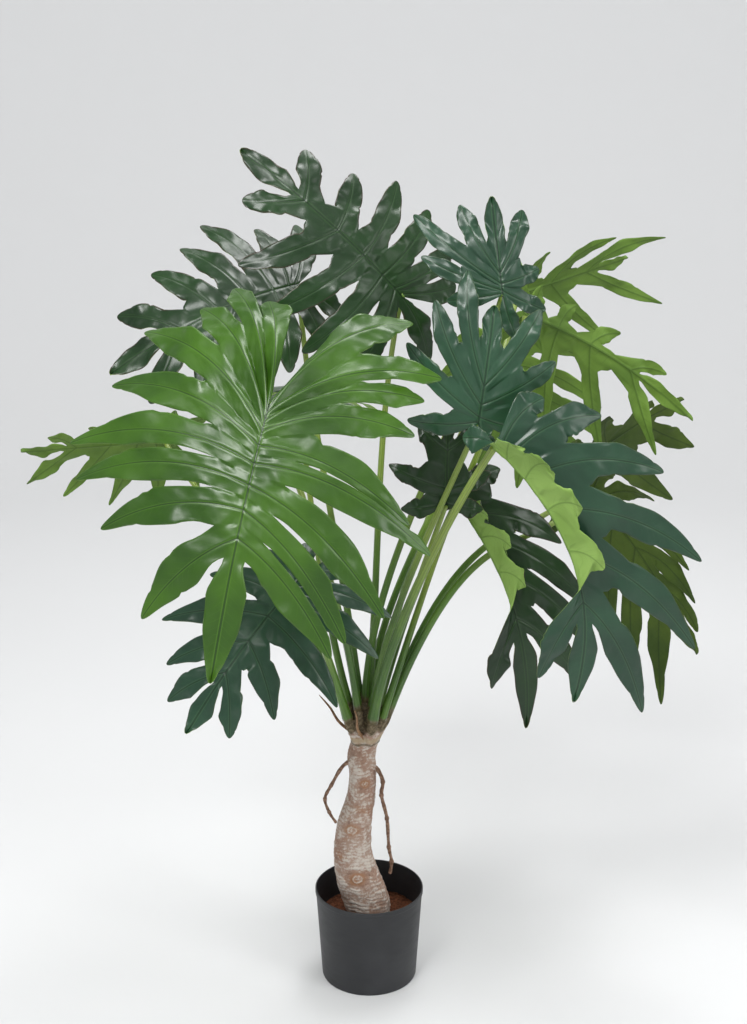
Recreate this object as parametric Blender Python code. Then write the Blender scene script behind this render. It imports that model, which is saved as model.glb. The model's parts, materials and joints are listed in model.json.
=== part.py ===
"""Potted philodendron selloum: a pot with its filling, a leaning trunk, and sixteen lobed leaves on stalks.

Metres, +Z up, origin at the middle of the pot's underside, +X to the right and -Y to the front."""

import math

import bmesh
import bpy
import numpy as np

CLEARANCE = 0.0003

# Pot and filling
POT_HEIGHT = 0.142
POT_RIM_RADIUS = 0.080
POT_BASE_RADIUS = 0.0705
POT_WALL = 0.002
POT_FLOOR = 0.003
POT_STEPS = 40
FILL_TOP = 0.094
FILL_HOLE_FLOOR = 0.030

# Trunk: sideways place, height and radius of each ring
STUB_RADIUS = 0.031
TRUNK_SIDES = 14
TRUNK_STATIONS = (
    (0.000, FILL_HOLE_FLOOR + CLEARANCE, STUB_RADIUS),
    (0.000, 0.097, STUB_RADIUS),
    (-0.004, 0.118, 0.0340),
    (-0.017, 0.160, 0.0320),
    (-0.024, 0.201, 0.0280),
    (-0.021, 0.246, 0.0250),
    (-0.013, 0.283, 0.0210),
    (-0.009, 0.323, 0.0195),
    (-0.011, 0.352, 0.0205),
    (-0.007, 0.376, 0.0195),
    (-0.006, 0.398, 0.0250),
)
TRUNK_RINGS = 30
BARK_RING_SPACING = 0.019
BARK_RING_DEPTH = 0.0009
KNOTS = ((-0.025, 0.246, 0.0095), (-0.017, 0.170, 0.0105), (-0.006, 0.318, 0.0065))

# Crown: distance from its axis, height and outward lean in degrees of each ring of sockets
CROWN = (-0.006, 0.0)
CROWN_FOOT = 0.376
SOCKET_RINGS = {
    "inner": (0.0082, 0.444, 6),
    "middle": (0.0222, 0.436, 14),
    "outer": (0.0335, 0.422, 20),
}
SOCKET_RADIUS = 0.0070
SOCKET_SIDES = 8
BRACT_AZIMUTHS = (188, 257, 37)
BRACT_LENGTH = 0.062

# Aerial roots: the points that each passes through, and its radius
LEFT_ROOT = ((-0.012, -0.008, 0.352), (-0.036, -0.012, 0.345), (-0.055, -0.014, 0.313),
             (-0.064, -0.014, 0.292), (-0.058, -0.013, 0.270), (-0.048, -0.012, 0.252))
RIGHT_ROOT = ((-0.006, -0.006, 0.352), (0.012, -0.010, 0.337), (0.020, -0.012, 0.318),
              (0.018, -0.013, 0.297), (0.026, -0.013, 0.260), (0.029, -0.012, 0.213),
              (0.033, -0.012, 0.189), (0.031, -0.012, 0.169))
LEFT_ROOT_RADIUS = 0.0027
RIGHT_ROOT_RADIUS = 0.0031
ROOT_SIDES = 6

# Stalks
STALK_SIDES = 6
STALK_SECTIONS = 9
STALK_BASE_RADIUS = 0.0055
STALK_TIP_RADIUS = 0.0034
STALK_RISE = 0.33
STALK_ARRIVAL = 0.35
HUB_CLEARANCE = 0.0005

# Blades: lobes start at ROOT_START to SPREAD of the midrib, and the end lobe END_START after the last
BLADE_THICKNESS = 0.0009
WEB = 0.20
WEB_ROWS = 2
FREE_ROWS = 3
HALF_COLUMNS = 1
LOBE_GAP = 0.44
LOBE_SWEEP = 0.20
EDGE_WAVE = 0.0035
DROOP = 0.20
SAG = 0.10
ROOT_START = 0.02
SPREAD = 0.60
END_START = 0.06
ROOT_CROWDING = 1.8
TAPER = 0.40
VEIN_SAMPLES = 13

# Each leaf: the place of its hub and its tip, the way its upper face looks, how far the midrib
# bows towards that face, how far it bends to the left if it does, the half width of a lobe, and
# its socket (ring and azimuth in degrees). Some have a value of their own for how far along the
# midrib the lobes reach (spread), how far the lobes hang down (sag), how much they narrow to
# their tips (taper), how far the web between them reaches (web), how thick the stalk is, how far it
# rises before it turns (rise), and how much room its end leaves under the blade (clearance). Then
# come the lobes from the hub to the tip. Left and right are as seen on the upper face with the tip
# pointing away. A lobe is its angle from the midrib, its length in millimetres, how far it is folded
# up out of the blade, in degrees, and its own web.
LEAVES = {
    "front": dict(
        hub=(-0.115, -0.300, 0.945), tip=(-0.180, -0.420, 0.645), face=(-0.1, -0.9, 0.4),
        bow=0.02, spread=0.47, sag=0.2, half_width=0.023, socket=("middle", 245), clearance=0.0009,
        right=((165, 205, 0, 0.7), (155, 245, 0, 0.65), (145, 235, 0, 0.6), (130, 260, 0, 0.5),
               (115, 240, 0, 0.35), (100, 255, 0), (95, 230, 0), (85, 180, 0), (50, 135, 0)),
        left=((150, 250, 0, 0.6), (130, 230, 0, 0.6), (125, 200, 0, 0.55), (115, 180, 0, 0.45),
              (85, 180, 0, 0.25), (85, 210, 0), (65, 190, 0), (55, 165, 0), (55, 150, 0)),
    ),
    "upper_left": dict(
        hub=(-0.095, 0.060, 1.030), tip=(-0.345, -0.020, 0.920), face=(-0.1, -0.75, 0.6),
        bow=0.03, sag=0.0, web=0.25, taper=0.2, half_width=0.019, socket=("inner", 160),
        right=((122, 140, 0), (98, 125, 0), (80, 160, 0), (73, 135, 0), (66, 120, 0), (50, 100, 0)),
        left=((125, 95, 0), (95, 105, 0), (75, 120, 0), (62, 125, 0), (50, 125, 0), (38, 105, 0)),
    ),
    "top": dict(
        hub=(0.045, -0.020, 1.025), tip=(-0.168, 0.020, 1.211), face=(0.0, -0.75, 0.6),
        bow=0.02, sag=0.0, taper=0.1, half_width=0.017, socket=("inner", 40),
        right=((125, 95, 0, 0.5), (104, 112, 0, 0.4), (86, 125, 0, 0.3), (75, 125, 0), (66, 90, 0),
               (52, 80, 0)),
        left=((165, 100, 0), (108, 140, 0), (88, 145, 0), (75, 145, 0), (62, 135, 0), (38, 80, 0)),
    ),
    "upper_right": dict(
        hub=(0.170, -0.100, 1.040), tip=(0.155, -0.070, 1.160), face=(0.0, -0.9, 0.4),
        bow=0.0, spread=0.2, sag=0.08, taper=0.2, half_width=0.012, socket=("inner", 280),
        right=((165, 60, 0, 0.3), (115, 60, 0, 0.4), (70, 55, 0, 0.5), (25, 95, 0, 0.55)),
        left=((85, 70, 0, 0.4), (55, 115, 0, 0.4), (40, 150, 0, 0.45), (20, 110, 0, 0.5)),
    ),
    "centre_right": dict(
        hub=(0.138, -0.165, 0.888), tip=(0.157, -0.140, 1.034), face=(0.0, -0.95, 0.3),
        bow=0.01, spread=0.3, sag=0.08, taper=0.2, half_width=0.0135, socket=("middle", 297),
        right=((150, 40, 0, 0.4), (95, 65, 0, 0.5), (50, 110, 0, 0.5), (27, 125, 0, 0.55)),
        left=((95, 90, 0, 0.3), (50, 135, 0, 0.35), (30, 150, 0, 0.45), (15, 155, 0, 0.5)),
    ),
    "right": dict(
        hub=(0.155, -0.220, 0.873), tip=(0.266, -0.200, 0.527), face=(0.0, -0.95, 0.2),
        bow=0.02, bend=0.05, sag=0.3, half_width=0.020, socket=("outer", 290), stalk=1.3, clearance=0.0,
        right=((170, 55, 0, 0.5), (120, 60, 140, 0.7), (108, 65, 150, 0.7), (95, 60, 152, 0.6),
               (75, 50, 148, 0.6), (45, 90, 20, 0.3)),
        left=((105, 110, 0, 0.6), (85, 150, 0, 0.5), (68, 185, 0, 0.4), (52, 205, 0, 0.3),
              (40, 200, 0, 0.25), (26, 160, 0)),
    ),
    "lower_right": dict(
        hub=(0.121, -0.028, 0.746), tip=(0.220, -0.058, 0.425), face=(0.0, -0.95, 0.2),
        bow=0.02, bend=0.03, spread=0.5, sag=0.3, half_width=0.017, socket=("outer", 318),
        right=((150, 45, 0, 0.5), (85, 50, 140, 0.6), (75, 55, 145, 0.6), (75, 50, 140, 0.6),
               (40, 80, 30, 0.4)),
        left=((110, 95, 0, 0.5), (55, 130, 0, 0.4), (40, 165, 0, 0.35), (38, 150, 0, 0.3), (38, 120, 0)),
    ),
    "far_right": dict(
        hub=(0.304, 0.150, 0.744), tip=(0.467, 0.200, 0.837), face=(0.0, 0.85, 0.5),
        bow=0.01, web=0.3, half_width=0.017, socket=("outer", 15), rise=0.85,
        right=((130, 80, 0), (105, 80, 0), (80, 70, 0), (60, 50, 0)),
        left=((120, 110, 0), (88, 145, 0), (64, 155, 0), (48, 100, 0)),
    ),
    "arching": dict(
        hub=(0.213, 0.050, 0.989), tip=(0.457, 0.080, 0.833), face=(0.1, 0.9, 0.4),
        bow=0.03, sag=0.25, web=0.15, half_width=0.012, socket=("middle", 23),
        right=((130, 75, 30), (105, 60, 50), (80, 50, 50), (60, 50, 40), (45, 50, 20)),
        left=((112, 120, 0), (85, 135, 0), (62, 150, 0), (46, 145, 0), (30, 105, 0)),
    ),
    "top_right": dict(
        hub=(0.212, 0.200, 0.992), tip=(0.387, 0.280, 1.035), face=(0.0, 0.9, 0.4),
        bow=0.0, web=0.15, half_width=0.011, socket=("middle", 70),
        right=((125, 70, 0), (70, 80, 0), (38, 120, 0), (22, 130, 0)),
        left=((115, 90, 0), (75, 110, 0), (48, 140, 0), (28, 140, 0)),
    ),
    "back_right": dict(
        hub=(0.203, 0.320, 0.910), tip=(0.310, 0.370, 0.665), face=(0.1, 0.85, 0.5),
        bow=0.0, web=0.25, half_width=0.015, socket=("outer", 60),
        right=((115, 85, 0), (75, 125, 0), (55, 145, 0), (48, 135, 0), (40, 95, 0)),
        left=((110, 85, 0), (85, 125, 0), (68, 135, 0), (54, 130, 0), (40, 100, 0)),
    ),
    "far_left": dict(
        hub=(-0.301, 0.170, 0.782), tip=(-0.503, 0.120, 0.777), face=(-0.1, 0.8, 0.6),
        bow=0.0, sag=0.02, half_width=0.013, socket=("outer", 150),
        right=((120, 110, 0), (90, 115, 0), (68, 120, 0), (48, 110, 0), (34, 90, 0)),
        left=((130, 95, 0), (105, 95, 0), (80, 80, 0), (62, 70, 0), (48, 60, 0)),
    ),
    "lower_left": dict(
        hub=(-0.089, -0.160, 0.682), tip=(-0.233, -0.240, 0.499), face=(-0.1, -0.8, 0.6),
        bow=0.02, sag=0.04, half_width=0.017, socket=("outer", 225), stalk=1.2,
        right=((150, 65, 0), (105, 80, 0), (78, 110, 0), (58, 145, 0), (44, 115, 0), (34, 90, 0)),
        left=((145, 80, 0), (115, 130, 0), (98, 140, 0), (76, 140, 0), (55, 100, 0), (36, 80, 0)),
    ),
    "centre": dict(
        hub=(0.103, -0.080, 0.757), tip=(0.105, -0.070, 0.874), face=(0.0, -0.9, 0.4),
        bow=0.0, web=0.4, half_width=0.013, socket=("middle", 340),
        right=((95, 50, 0), (65, 65, 0), (45, 55, 0)),
        left=((95, 60, 0), (65, 85, 0), (45, 55, 0)),
    ),
    "low_right_back": dict(
        hub=(0.309, 0.030, 0.746), tip=(0.466, 0.000, 0.511), face=(0.3, 0.85, 0.45),
        bow=0.02, sag=0.25, half_width=0.016, socket=("outer", 345), rise=0.85,
        right=((120, 110, 0), (90, 105, 0), (45, 115, 0), (35, 100, 0), (28, 70, 0)),
        left=((85, 85, 0), (45, 125, 0), (35, 165, 0), (32, 175, 0), (27, 140, 0)),
    ),
    "behind": dict(
        hub=(-0.100, 0.120, 0.860), tip=(-0.140, 0.400, 0.760), face=(0.0, 0.35, 0.93),
        bow=0.03, half_width=0.016, socket=("middle", 190),
        right=((140, 90, 0), (110, 120, 0), (85, 140, 0), (65, 140, 0), (48, 120, 0)),
        left=((140, 90, 0), (110, 120, 0), (85, 140, 0), (65, 140, 0), (48, 120, 0)),
    ),
}

# Base colour, roughness and metallic value
FINISHES = {
    "pot": ((0.012, 0.012, 0.013), 0.60, 0.0),
    "fill": ((0.090, 0.035, 0.018), 0.95, 0.0),
    "trunk": ((0.330, 0.200, 0.140), 0.85, 0.0),
    "stalk": ((0.160, 0.260, 0.050), 0.45, 0.0),
    "blade": ((0.020, 0.090, 0.025), 0.35, 0.0),
}


def unit(vector):
    vector = np.asarray(vector, float)
    return vector / np.linalg.norm(vector)


def smooth_path(points, count):
    """Points at even steps of a Catmull-Rom curve through the given ones, of any size."""
    points = np.asarray(points, float)
    ends = np.vstack([2 * points[0] - points[1], points, 2 * points[-1] - points[-2]])
    spans = len(points) - 1
    path = []
    for along in np.linspace(0, spans, count):
        i = min(int(along), spans - 1)
        t = along - i
        a, b, c, d = ends[i : i + 4]
        path.append(0.5 * (2 * b + (c - a) * t + (2 * a - 5 * b + 4 * c - d) * t**2
                           + (3 * b - a - 3 * c + d) * t**3))
    return np.array(path)


def bezier(a, b, c, d, count):
    """Points on a cubic curve with the four given control points."""
    t = np.linspace(0, 1, count)[:, None]
    return a * (1 - t) ** 3 + 3 * b * t * (1 - t) ** 2 + 3 * c * t**2 * (1 - t) + d * t**3


def finish_of(name):
    """The material of that name, made on its first use."""
    material = bpy.data.materials.get(name)
    if material:
        return material
    color, roughness, metallic = FINISHES[name]
    material = bpy.data.materials.new(name)
    material.use_nodes = True
    shader = material.node_tree.nodes["Principled BSDF"]
    shader.inputs["Base Color"].default_value = (*color, 1)
    shader.inputs["Roughness"].default_value = roughness
    shader.inputs["Metallic"].default_value = metallic
    material.diffuse_color = (*color, 1)
    return material


def make_object(name, verts, faces, finish):
    mesh = bpy.data.meshes.new(name)
    mesh.from_pydata([tuple(v) for v in verts], [], faces)
    mesh.validate()
    shape = bmesh.new()
    shape.from_mesh(mesh)
    bmesh.ops.recalc_face_normals(shape, faces=shape.faces)
    shape.to_mesh(mesh)
    shape.free()
    mesh.shade_smooth()
    mesh.set_sharp_from_angle(angle=math.radians(40))
    mesh.materials.append(finish_of(finish))
    obj = bpy.data.objects.new(name, mesh)
    bpy.context.scene.collection.objects.link(obj)
    return obj


def turned(name, profile, steps, finish):
    """A profile of (radius, height) turned round the Z axis. Its first and last points lie on the axis."""
    verts = [(0, 0, profile[0][1]), (0, 0, profile[-1][1])]
    rings = []
    for radius, height in profile[1:-1]:
        rings.append(range(len(verts), len(verts) + steps))
        for k in range(steps):
            angle = 2 * math.pi * k / steps
            verts.append((radius * math.cos(angle), radius * math.sin(angle), height))
    faces = []
    for k in range(steps):
        following = (k + 1) % steps
        faces.append((0, rings[0][following], rings[0][k]))
        faces.append((1, rings[-1][k], rings[-1][following]))
        for lower, upper in zip(rings, rings[1:]):
            faces.append((lower[k], lower[following], upper[following], upper[k]))
    return make_object(name, verts, faces, finish)


def tube(name, path, radii, sides, finish, squash=1.0, ways=None):
    """A closed tube along the path, with flat ends, which lie across the two ways where they are given.

    Squash narrows it across its first side direction."""
    path = np.asarray(path, float)
    tangents = [unit(t) for t in np.gradient(path, axis=0)]
    if ways is not None:
        tangents[0], tangents[-1] = ways
    across = unit(np.cross(tangents[0], (0.0, 1.0, 0.02)))
    verts = []
    for point, tangent, radius in zip(path, tangents, radii):
        across = unit(across - tangent * (across @ tangent))
        third = np.cross(tangent, across)
        for k in range(sides):
            angle = 2 * math.pi * k / sides
            verts.append(point + radius * (squash * math.cos(angle) * across + math.sin(angle) * third))
    faces = [tuple(range(sides))[::-1], tuple(range(len(verts) - sides, len(verts)))]
    for ring in range(len(path) - 1):
        for k in range(sides):
            low = ring * sides + k
            high = ring * sides + (k + 1) % sides
            faces.append((low, high, high + sides, low + sides))
    return make_object(name, verts, faces, finish)


def fused(name, pieces):
    """One solid from pieces that overlap, named after the first, with the others removed."""
    helpers = bpy.data.collections.new(name + " pieces")
    bpy.context.scene.collection.children.link(helpers)
    body = pieces[0]
    for piece in pieces[1:]:
        bpy.context.scene.collection.objects.unlink(piece)
        helpers.objects.link(piece)
    union = body.modifiers.new("Union", "BOOLEAN")
    union.operation = "UNION"
    union.operand_type = "COLLECTION"
    union.collection = helpers
    union.solver = "EXACT"
    graph = bpy.context.evaluated_depsgraph_get()
    mesh = bpy.data.meshes.new_from_object(body.evaluated_get(graph))
    body.modifiers.clear()
    body.data = mesh
    for piece in list(helpers.objects):
        bpy.data.objects.remove(piece)
    bpy.data.collections.remove(helpers)
    body.name = name
    return body


def make_pot():
    inner_rim = POT_RIM_RADIUS - POT_WALL
    inner_base = POT_BASE_RADIUS - POT_WALL
    profile = (
        (0, 0),
        (POT_BASE_RADIUS, 0),
        (POT_RIM_RADIUS - 0.0012, POT_HEIGHT - 0.008),
        (POT_RIM_RADIUS, POT_HEIGHT - 0.007),
        (POT_RIM_RADIUS, POT_HEIGHT - 0.0008),
        (POT_RIM_RADIUS - 0.0008, POT_HEIGHT),
        (inner_rim, POT_HEIGHT),
        (inner_base, POT_FLOOR),
        (0, POT_FLOOR),
    )
    return turned("pot", profile, POT_STEPS, "pot")


def inside_radius(height):
    """The pot's inner radius at a height, where the filling meets it."""
    share = (height - POT_FLOOR) / (POT_HEIGHT - POT_FLOOR)
    return POT_BASE_RADIUS - POT_WALL + share * (POT_RIM_RADIUS - POT_BASE_RADIUS)


def make_fill():
    floor = POT_FLOOR + CLEARANCE
    hole = STUB_RADIUS + CLEARANCE
    profile = (
        (0, floor),
        (inside_radius(floor) - CLEARANCE, floor),
        (inside_radius(FILL_TOP) - CLEARANCE, FILL_TOP),
        (0.060, FILL_TOP + 0.002),
        (0.045, FILL_TOP + 0.001),
        (hole, FILL_TOP + 0.002),
        (hole, FILL_HOLE_FLOOR),
        (0, FILL_HOLE_FLOOR),
    )
    return turned("fill", profile, POT_STEPS, "fill")


def trunk_stem():
    stations = smooth_path(TRUNK_STATIONS[1:], TRUNK_RINGS)
    stations = np.vstack([TRUNK_STATIONS[0], stations])
    path = [(x, 0.0, z) for x, z, _ in stations]
    radii = [r + BARK_RING_DEPTH * math.sin(2 * math.pi * z / BARK_RING_SPACING) * (z > FILL_TOP + 0.01)
             for _, z, r in stations]
    return tube("trunk", path, radii, TRUNK_SIDES, "trunk")


def knot(x, z, radius):
    """A low round boss on the trunk's front, where an old leaf has dropped."""
    depth = np.interp(z, [s[1] for s in TRUNK_STATIONS], [s[2] for s in TRUNK_STATIONS])
    path = [(x, y, z) for y in (-depth * 0.7, -depth - 0.0008, -depth - 0.0016)]
    return tube("knot", path, (radius, radius, radius * 0.55), 10, "trunk")


def socket_of(leaf):
    """Where a stalk starts on the crown, and the way it leaves."""
    ring, azimuth = leaf["socket"]
    distance, height, lean = SOCKET_RINGS[ring]
    azimuth = math.radians(azimuth)
    lean = math.radians(lean)
    outward = np.array([math.cos(azimuth), math.sin(azimuth), 0.0])
    place = np.array([*CROWN, height]) + outward * distance
    return place, outward * math.sin(lean) + np.array([0.0, 0.0, math.cos(lean)])


def leaf_socket(leaf):
    place, way = socket_of(leaf)
    foot = np.array([*CROWN, CROWN_FOOT]) + 0.35 * (place - np.array([*CROWN, place[2]]))
    path = smooth_path([foot, 0.5 * (foot + place), place - 0.010 * way, place], 5)
    radii = np.linspace(0.95, 1.0, len(path)) * SOCKET_RADIUS * math.sqrt(leaf.get("stalk", 1.0))
    return tube("socket", path, radii, SOCKET_SIDES, "trunk", ways=(unit(path[1] - path[0]), way))


def bract(azimuth):
    """A thin dry sheath that stands up from the crown's side."""
    azimuth = math.radians(azimuth)
    outward = np.array([math.cos(azimuth), math.sin(azimuth), 0.0])
    start = np.array([*CROWN, 0.392])
    places = [start + outward * distance + np.array([0, 0, share * BRACT_LENGTH])
              for distance, share in ((0.018, 0.0), (0.038, 0.3), (0.050, 0.65), (0.066, 1.0))]
    return tube("bract", smooth_path(places, 6), (0.005, 0.0048, 0.0042, 0.0034, 0.0024, 0.0010), 6,
                "trunk", squash=0.45)


def make_trunk():
    left = smooth_path(LEFT_ROOT, 14)
    right = smooth_path(RIGHT_ROOT, 18)
    pieces = [trunk_stem()]
    pieces += [knot(*place) for place in KNOTS]
    pieces += [leaf_socket(leaf) for leaf in LEAVES.values()]
    pieces += [bract(azimuth) for azimuth in BRACT_AZIMUTHS]
    pieces.append(tube("root", left, np.linspace(1.1, 0.8, 14) * LEFT_ROOT_RADIUS, ROOT_SIDES, "trunk"))
    pieces.append(tube("root", right, np.linspace(1.0, 0.8, 18) * RIGHT_ROOT_RADIUS, ROOT_SIDES, "trunk"))
    return fused("trunk", pieces)


class Midrib:
    """The curved middle line of a blade, with the blade's own directions along it."""

    def __init__(self, leaf):
        self.hub = np.array(leaf["hub"])
        self.length = np.linalg.norm(np.array(leaf["tip"]) - self.hub)
        self.along = unit(np.array(leaf["tip"]) - self.hub)
        face = unit(leaf["face"])
        self.up = unit(face - self.along * (face @ self.along))
        self.left = np.cross(self.up, self.along)
        self.bow = leaf["bow"]
        self.bend = leaf.get("bend", 0.0)

    def point(self, s):
        sweep = 4 * s * (1 - s)
        return self.hub + self.along * self.length * s + sweep * (self.up * self.bow + self.left * self.bend)

    def directions(self, s):
        """Along, left and up at that share of the midrib."""
        slope = 4 * (1 - 2 * s)
        along = unit(self.along * self.length + slope * (self.up * self.bow + self.left * self.bend))
        up = unit(self.up - along * (self.up @ along))
        return along, np.cross(up, along), up


class Lobe:
    """One lobe's vein, from the midrib to the lobe's tip."""

    def __init__(self, midrib, root, side, leaf, shape, phase):
        angle, length, lift = shape[:3]
        along, left, up = midrib.directions(root)
        angle = math.radians(angle)
        lift = math.radians(lift)
        outward = math.cos(lift) * side * left + math.sin(lift) * up
        self.root = midrib.point(root)
        self.way = math.cos(angle) * along + math.sin(angle) * outward
        self.tipward = math.sin(angle) * along - math.cos(angle) * outward
        self.up = math.cos(lift) * up - math.sin(lift) * side * left
        self.length = length / 1000
        self.web = shape[3] if len(shape) > 3 else leaf.get("web", WEB)
        self.fall = DROOP * self.up + leaf.get("sag", SAG) * np.array([0.0, 0.0, 1.0])
        self.half_width = leaf["half_width"]
        self.taper = leaf.get("taper", TAPER)
        self.phase = phase

    def point(self, t):
        sweep = LOBE_SWEEP * t * (1 - t)
        return self.root + self.length * (t * self.way - sweep * self.tipward - t**2 * self.fall)

    def across(self, t):
        """The direction across the lobe at that share of it, towards the leaf's tip."""
        along = unit(self.way - LOBE_SWEEP * (1 - 2 * t) * self.tipward - 2 * t * self.fall)
        return unit(self.tipward - along * (along @ self.tipward))


def lobe_roots(leaf):
    """Where the lobes' veins leave the midrib, as shares of its length, closer together at the hub."""
    count = len(leaf["left"])
    spread = leaf.get("spread", SPREAD)
    return [ROOT_START + spread * (i / (count - 1)) ** ROOT_CROWDING for i in range(count)]


def lobe_width(share, phase, taper):
    """The half width of a lobe at a share of its free length, as a share of its widest."""
    swell = 0.86 + 0.20 * math.sin(math.pi * share**0.8) + 0.05 * math.sin(9 * share + phase)
    late = min(max((share - 0.4) / 0.6, 0.0), 1.0)
    return swell * (1 - taper * late**2 * (3 - 2 * late)) * math.sqrt(max(0.0, 1 - share**4))


def nearest(point, others):
    return min(np.linalg.norm(point - other) for other in others)


def lobe_edge(lobe, t, toward, neighbours):
    """A point on a lobe's free edge, kept clear of the lobe beside it."""
    place = lobe.point(t)
    share = (t - lobe.web) / (1 - lobe.web)
    width = min(lobe.half_width * lobe_width(share, lobe.phase + toward, lobe.taper),
                LOBE_GAP * nearest(place, neighbours))
    wave = EDGE_WAVE * math.sin(7 * share + lobe.phase + 1.5 * toward) * min(1.0, width / lobe.half_width)
    return place + toward * width * lobe.across(t) + wave * lobe.up


def vein_samples(lobe):
    """Points along a lobe's vein, which the lobes beside it keep clear of."""
    return [lobe.point(t) for t in np.linspace(0, 1, VEIN_SAMPLES)]


def across_row(base_edge, middle, tip_edge):
    """A row of points from one edge to the middle and on to the other edge."""
    row = [base_edge + (middle - base_edge) * k / HALF_COLUMNS for k in range(HALF_COLUMNS)]
    return row + [middle + (tip_edge - middle) * k / HALF_COLUMNS for k in range(HALF_COLUMNS + 1)]


def side_grids(leaf, midrib, side, lobes, others):
    """Grids of points for one side of a blade: one for each lobe with its web, then half of the end lobe."""
    roots = lobe_roots(leaf)
    breaks = [0.0] + [(a + b) / 2 for a, b in zip(roots, roots[1:])] + [roots[-1] + END_START]
    starts = [midrib.point(s) for s in breaks]
    samples = [vein_samples(lobe) for lobe in lobes]
    end_vein = [midrib.point(s) for s in np.linspace(breaks[-1], 1, VEIN_SAMPLES)]
    beside = [vein_samples(others[0])] + samples + [end_vein]
    last = lobes[-1]
    sinuses = [lobe_edge(lobes[0], lobes[0].web, -1, beside[0])]
    sinuses += [0.5 * (a.point(a.web) + b.point(b.web)) for a, b in zip(lobes, lobes[1:])]
    reach = breaks[-1] + 0.5 * last.web * last.length / midrib.length
    sinuses.append(0.5 * (last.point(last.web) + midrib.point(reach)))
    grids = []
    for i, lobe in enumerate(lobes):
        rows = []
        for share in np.linspace(0, 1, WEB_ROWS + 1):
            base_edge = starts[i] + (sinuses[i] - starts[i]) * share
            tip_edge = starts[i + 1] + (sinuses[i + 1] - starts[i + 1]) * share
            rows.append(across_row(base_edge, lobe.point(lobe.web * share), tip_edge))
        for j in range(1, FREE_ROWS + 1):
            t = lobe.web + (1 - lobe.web) * (j - 0.45) / (FREE_ROWS - 0.15)
            rows.append(across_row(lobe_edge(lobe, t, -1, beside[i]), lobe.point(t),
                                   lobe_edge(lobe, t, 1, beside[i + 2])))
        rows.append([lobe.point(1.0)] * len(rows[0]))
        grids.append(rows)
    end_rows = [[starts[-1] + (sinuses[-1] - starts[-1]) * j / WEB_ROWS for j in range(WEB_ROWS + 1)]]
    first = (sinuses[-1] - midrib.hub) @ midrib.along / midrib.length
    for j in range(1, FREE_ROWS + 1):
        share = j / (FREE_ROWS + 0.6)
        middle = midrib.point(breaks[-1] + (1 - breaks[-1]) * share)
        s = first + (1 - first) * share
        width = min(last.half_width * lobe_width(share, 1.0, last.taper),
                    LOBE_GAP * nearest(midrib.point(s), samples[-1]))
        edge = midrib.point(s) + side * width * midrib.left + EDGE_WAVE * math.sin(7 * share) * midrib.up
        end_rows.append([middle + (edge - middle) * k / WEB_ROWS for k in range(WEB_ROWS + 1)])
    end_rows.append([midrib.point(1.0)] * (WEB_ROWS + 1))
    grids.append(end_rows)
    return grids


def lobes_of(leaf, midrib, side, key):
    roots = lobe_roots(leaf)
    return [Lobe(midrib, root, side, leaf, shape, phase=2.4 * i + side)
            for i, (root, shape) in enumerate(zip(roots, leaf[key]))]


def make_blade(name, leaf):
    """One thin waved sheet with all the lobes of a leaf, given its thickness on both sides."""
    midrib = Midrib(leaf)
    left = lobes_of(leaf, midrib, 1, "left")
    right = lobes_of(leaf, midrib, -1, "right")
    numbers = {}
    verts = []
    faces = []

    def number(point):
        key = tuple(np.round(point, 6))
        if key not in numbers:
            numbers[key] = len(verts)
            verts.append(point)
        return numbers[key]

    for side, lobes, others in ((1, left, right), (-1, right, left)):
        for rows in side_grids(leaf, midrib, side, lobes, others):
            for low, high in zip(rows, rows[1:]):
                for k in range(len(low) - 1):
                    corners = [number(p) for p in (low[k], low[k + 1], high[k + 1], high[k])]
                    for triangle in (corners[:3], [corners[0], *corners[2:]]):
                        if len(set(triangle)) == 3:
                            faces.append(triangle if side < 0 else triangle[::-1])
    blade = make_object(name, verts, faces, "blade")
    thickness = blade.modifiers.new("Thickness", "SOLIDIFY")
    thickness.thickness = BLADE_THICKNESS
    thickness.offset = 0
    return blade


def make_stalk(name, leaf):
    """A tapered stalk from its socket to just under the hub of its blade."""
    midrib = Midrib(leaf)
    start, leaving = socket_of(leaf)
    start = start + leaving * CLEARANCE
    along, _, up = midrib.directions(0.0)
    reach = np.linalg.norm(midrib.hub - start)
    arriving = unit(unit(midrib.hub - start) + 0.5 * up + 0.1 * along)
    tip_radius = STALK_TIP_RADIUS * leaf.get("stalk", 1.0)
    tilt = math.sqrt(1 - (arriving @ up) ** 2)
    below = 0.5 * BLADE_THICKNESS + leaf.get("clearance", HUB_CLEARANCE) + tip_radius * tilt
    end = midrib.hub - up * below
    rise = leaf.get("rise", STALK_RISE) * reach
    path = bezier(start, start + rise * leaving, end - STALK_ARRIVAL * reach * arriving, end, STALK_SECTIONS)
    radii = np.linspace(STALK_BASE_RADIUS, STALK_TIP_RADIUS, STALK_SECTIONS) * leaf.get("stalk", 1.0)
    return tube(name, path, radii, STALK_SIDES, "stalk", ways=(leaving, arriving))


def main():
    for obj in list(bpy.data.objects):
        bpy.data.objects.remove(obj)
    make_pot()
    make_fill()
    make_trunk()
    for name, leaf in LEAVES.items():
        make_stalk("stalk_" + name, leaf)
        make_blade("blade_" + name, leaf)


main()
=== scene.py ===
"""Looks of the potted philodendron selloum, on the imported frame.

Metres, +Z up, origin at the middle of the pot's underside, +X to the right and -Y to the front."""

import json
import math

import bmesh
import bpy
import numpy as np
from mathutils import Matrix, Vector, noise

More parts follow.
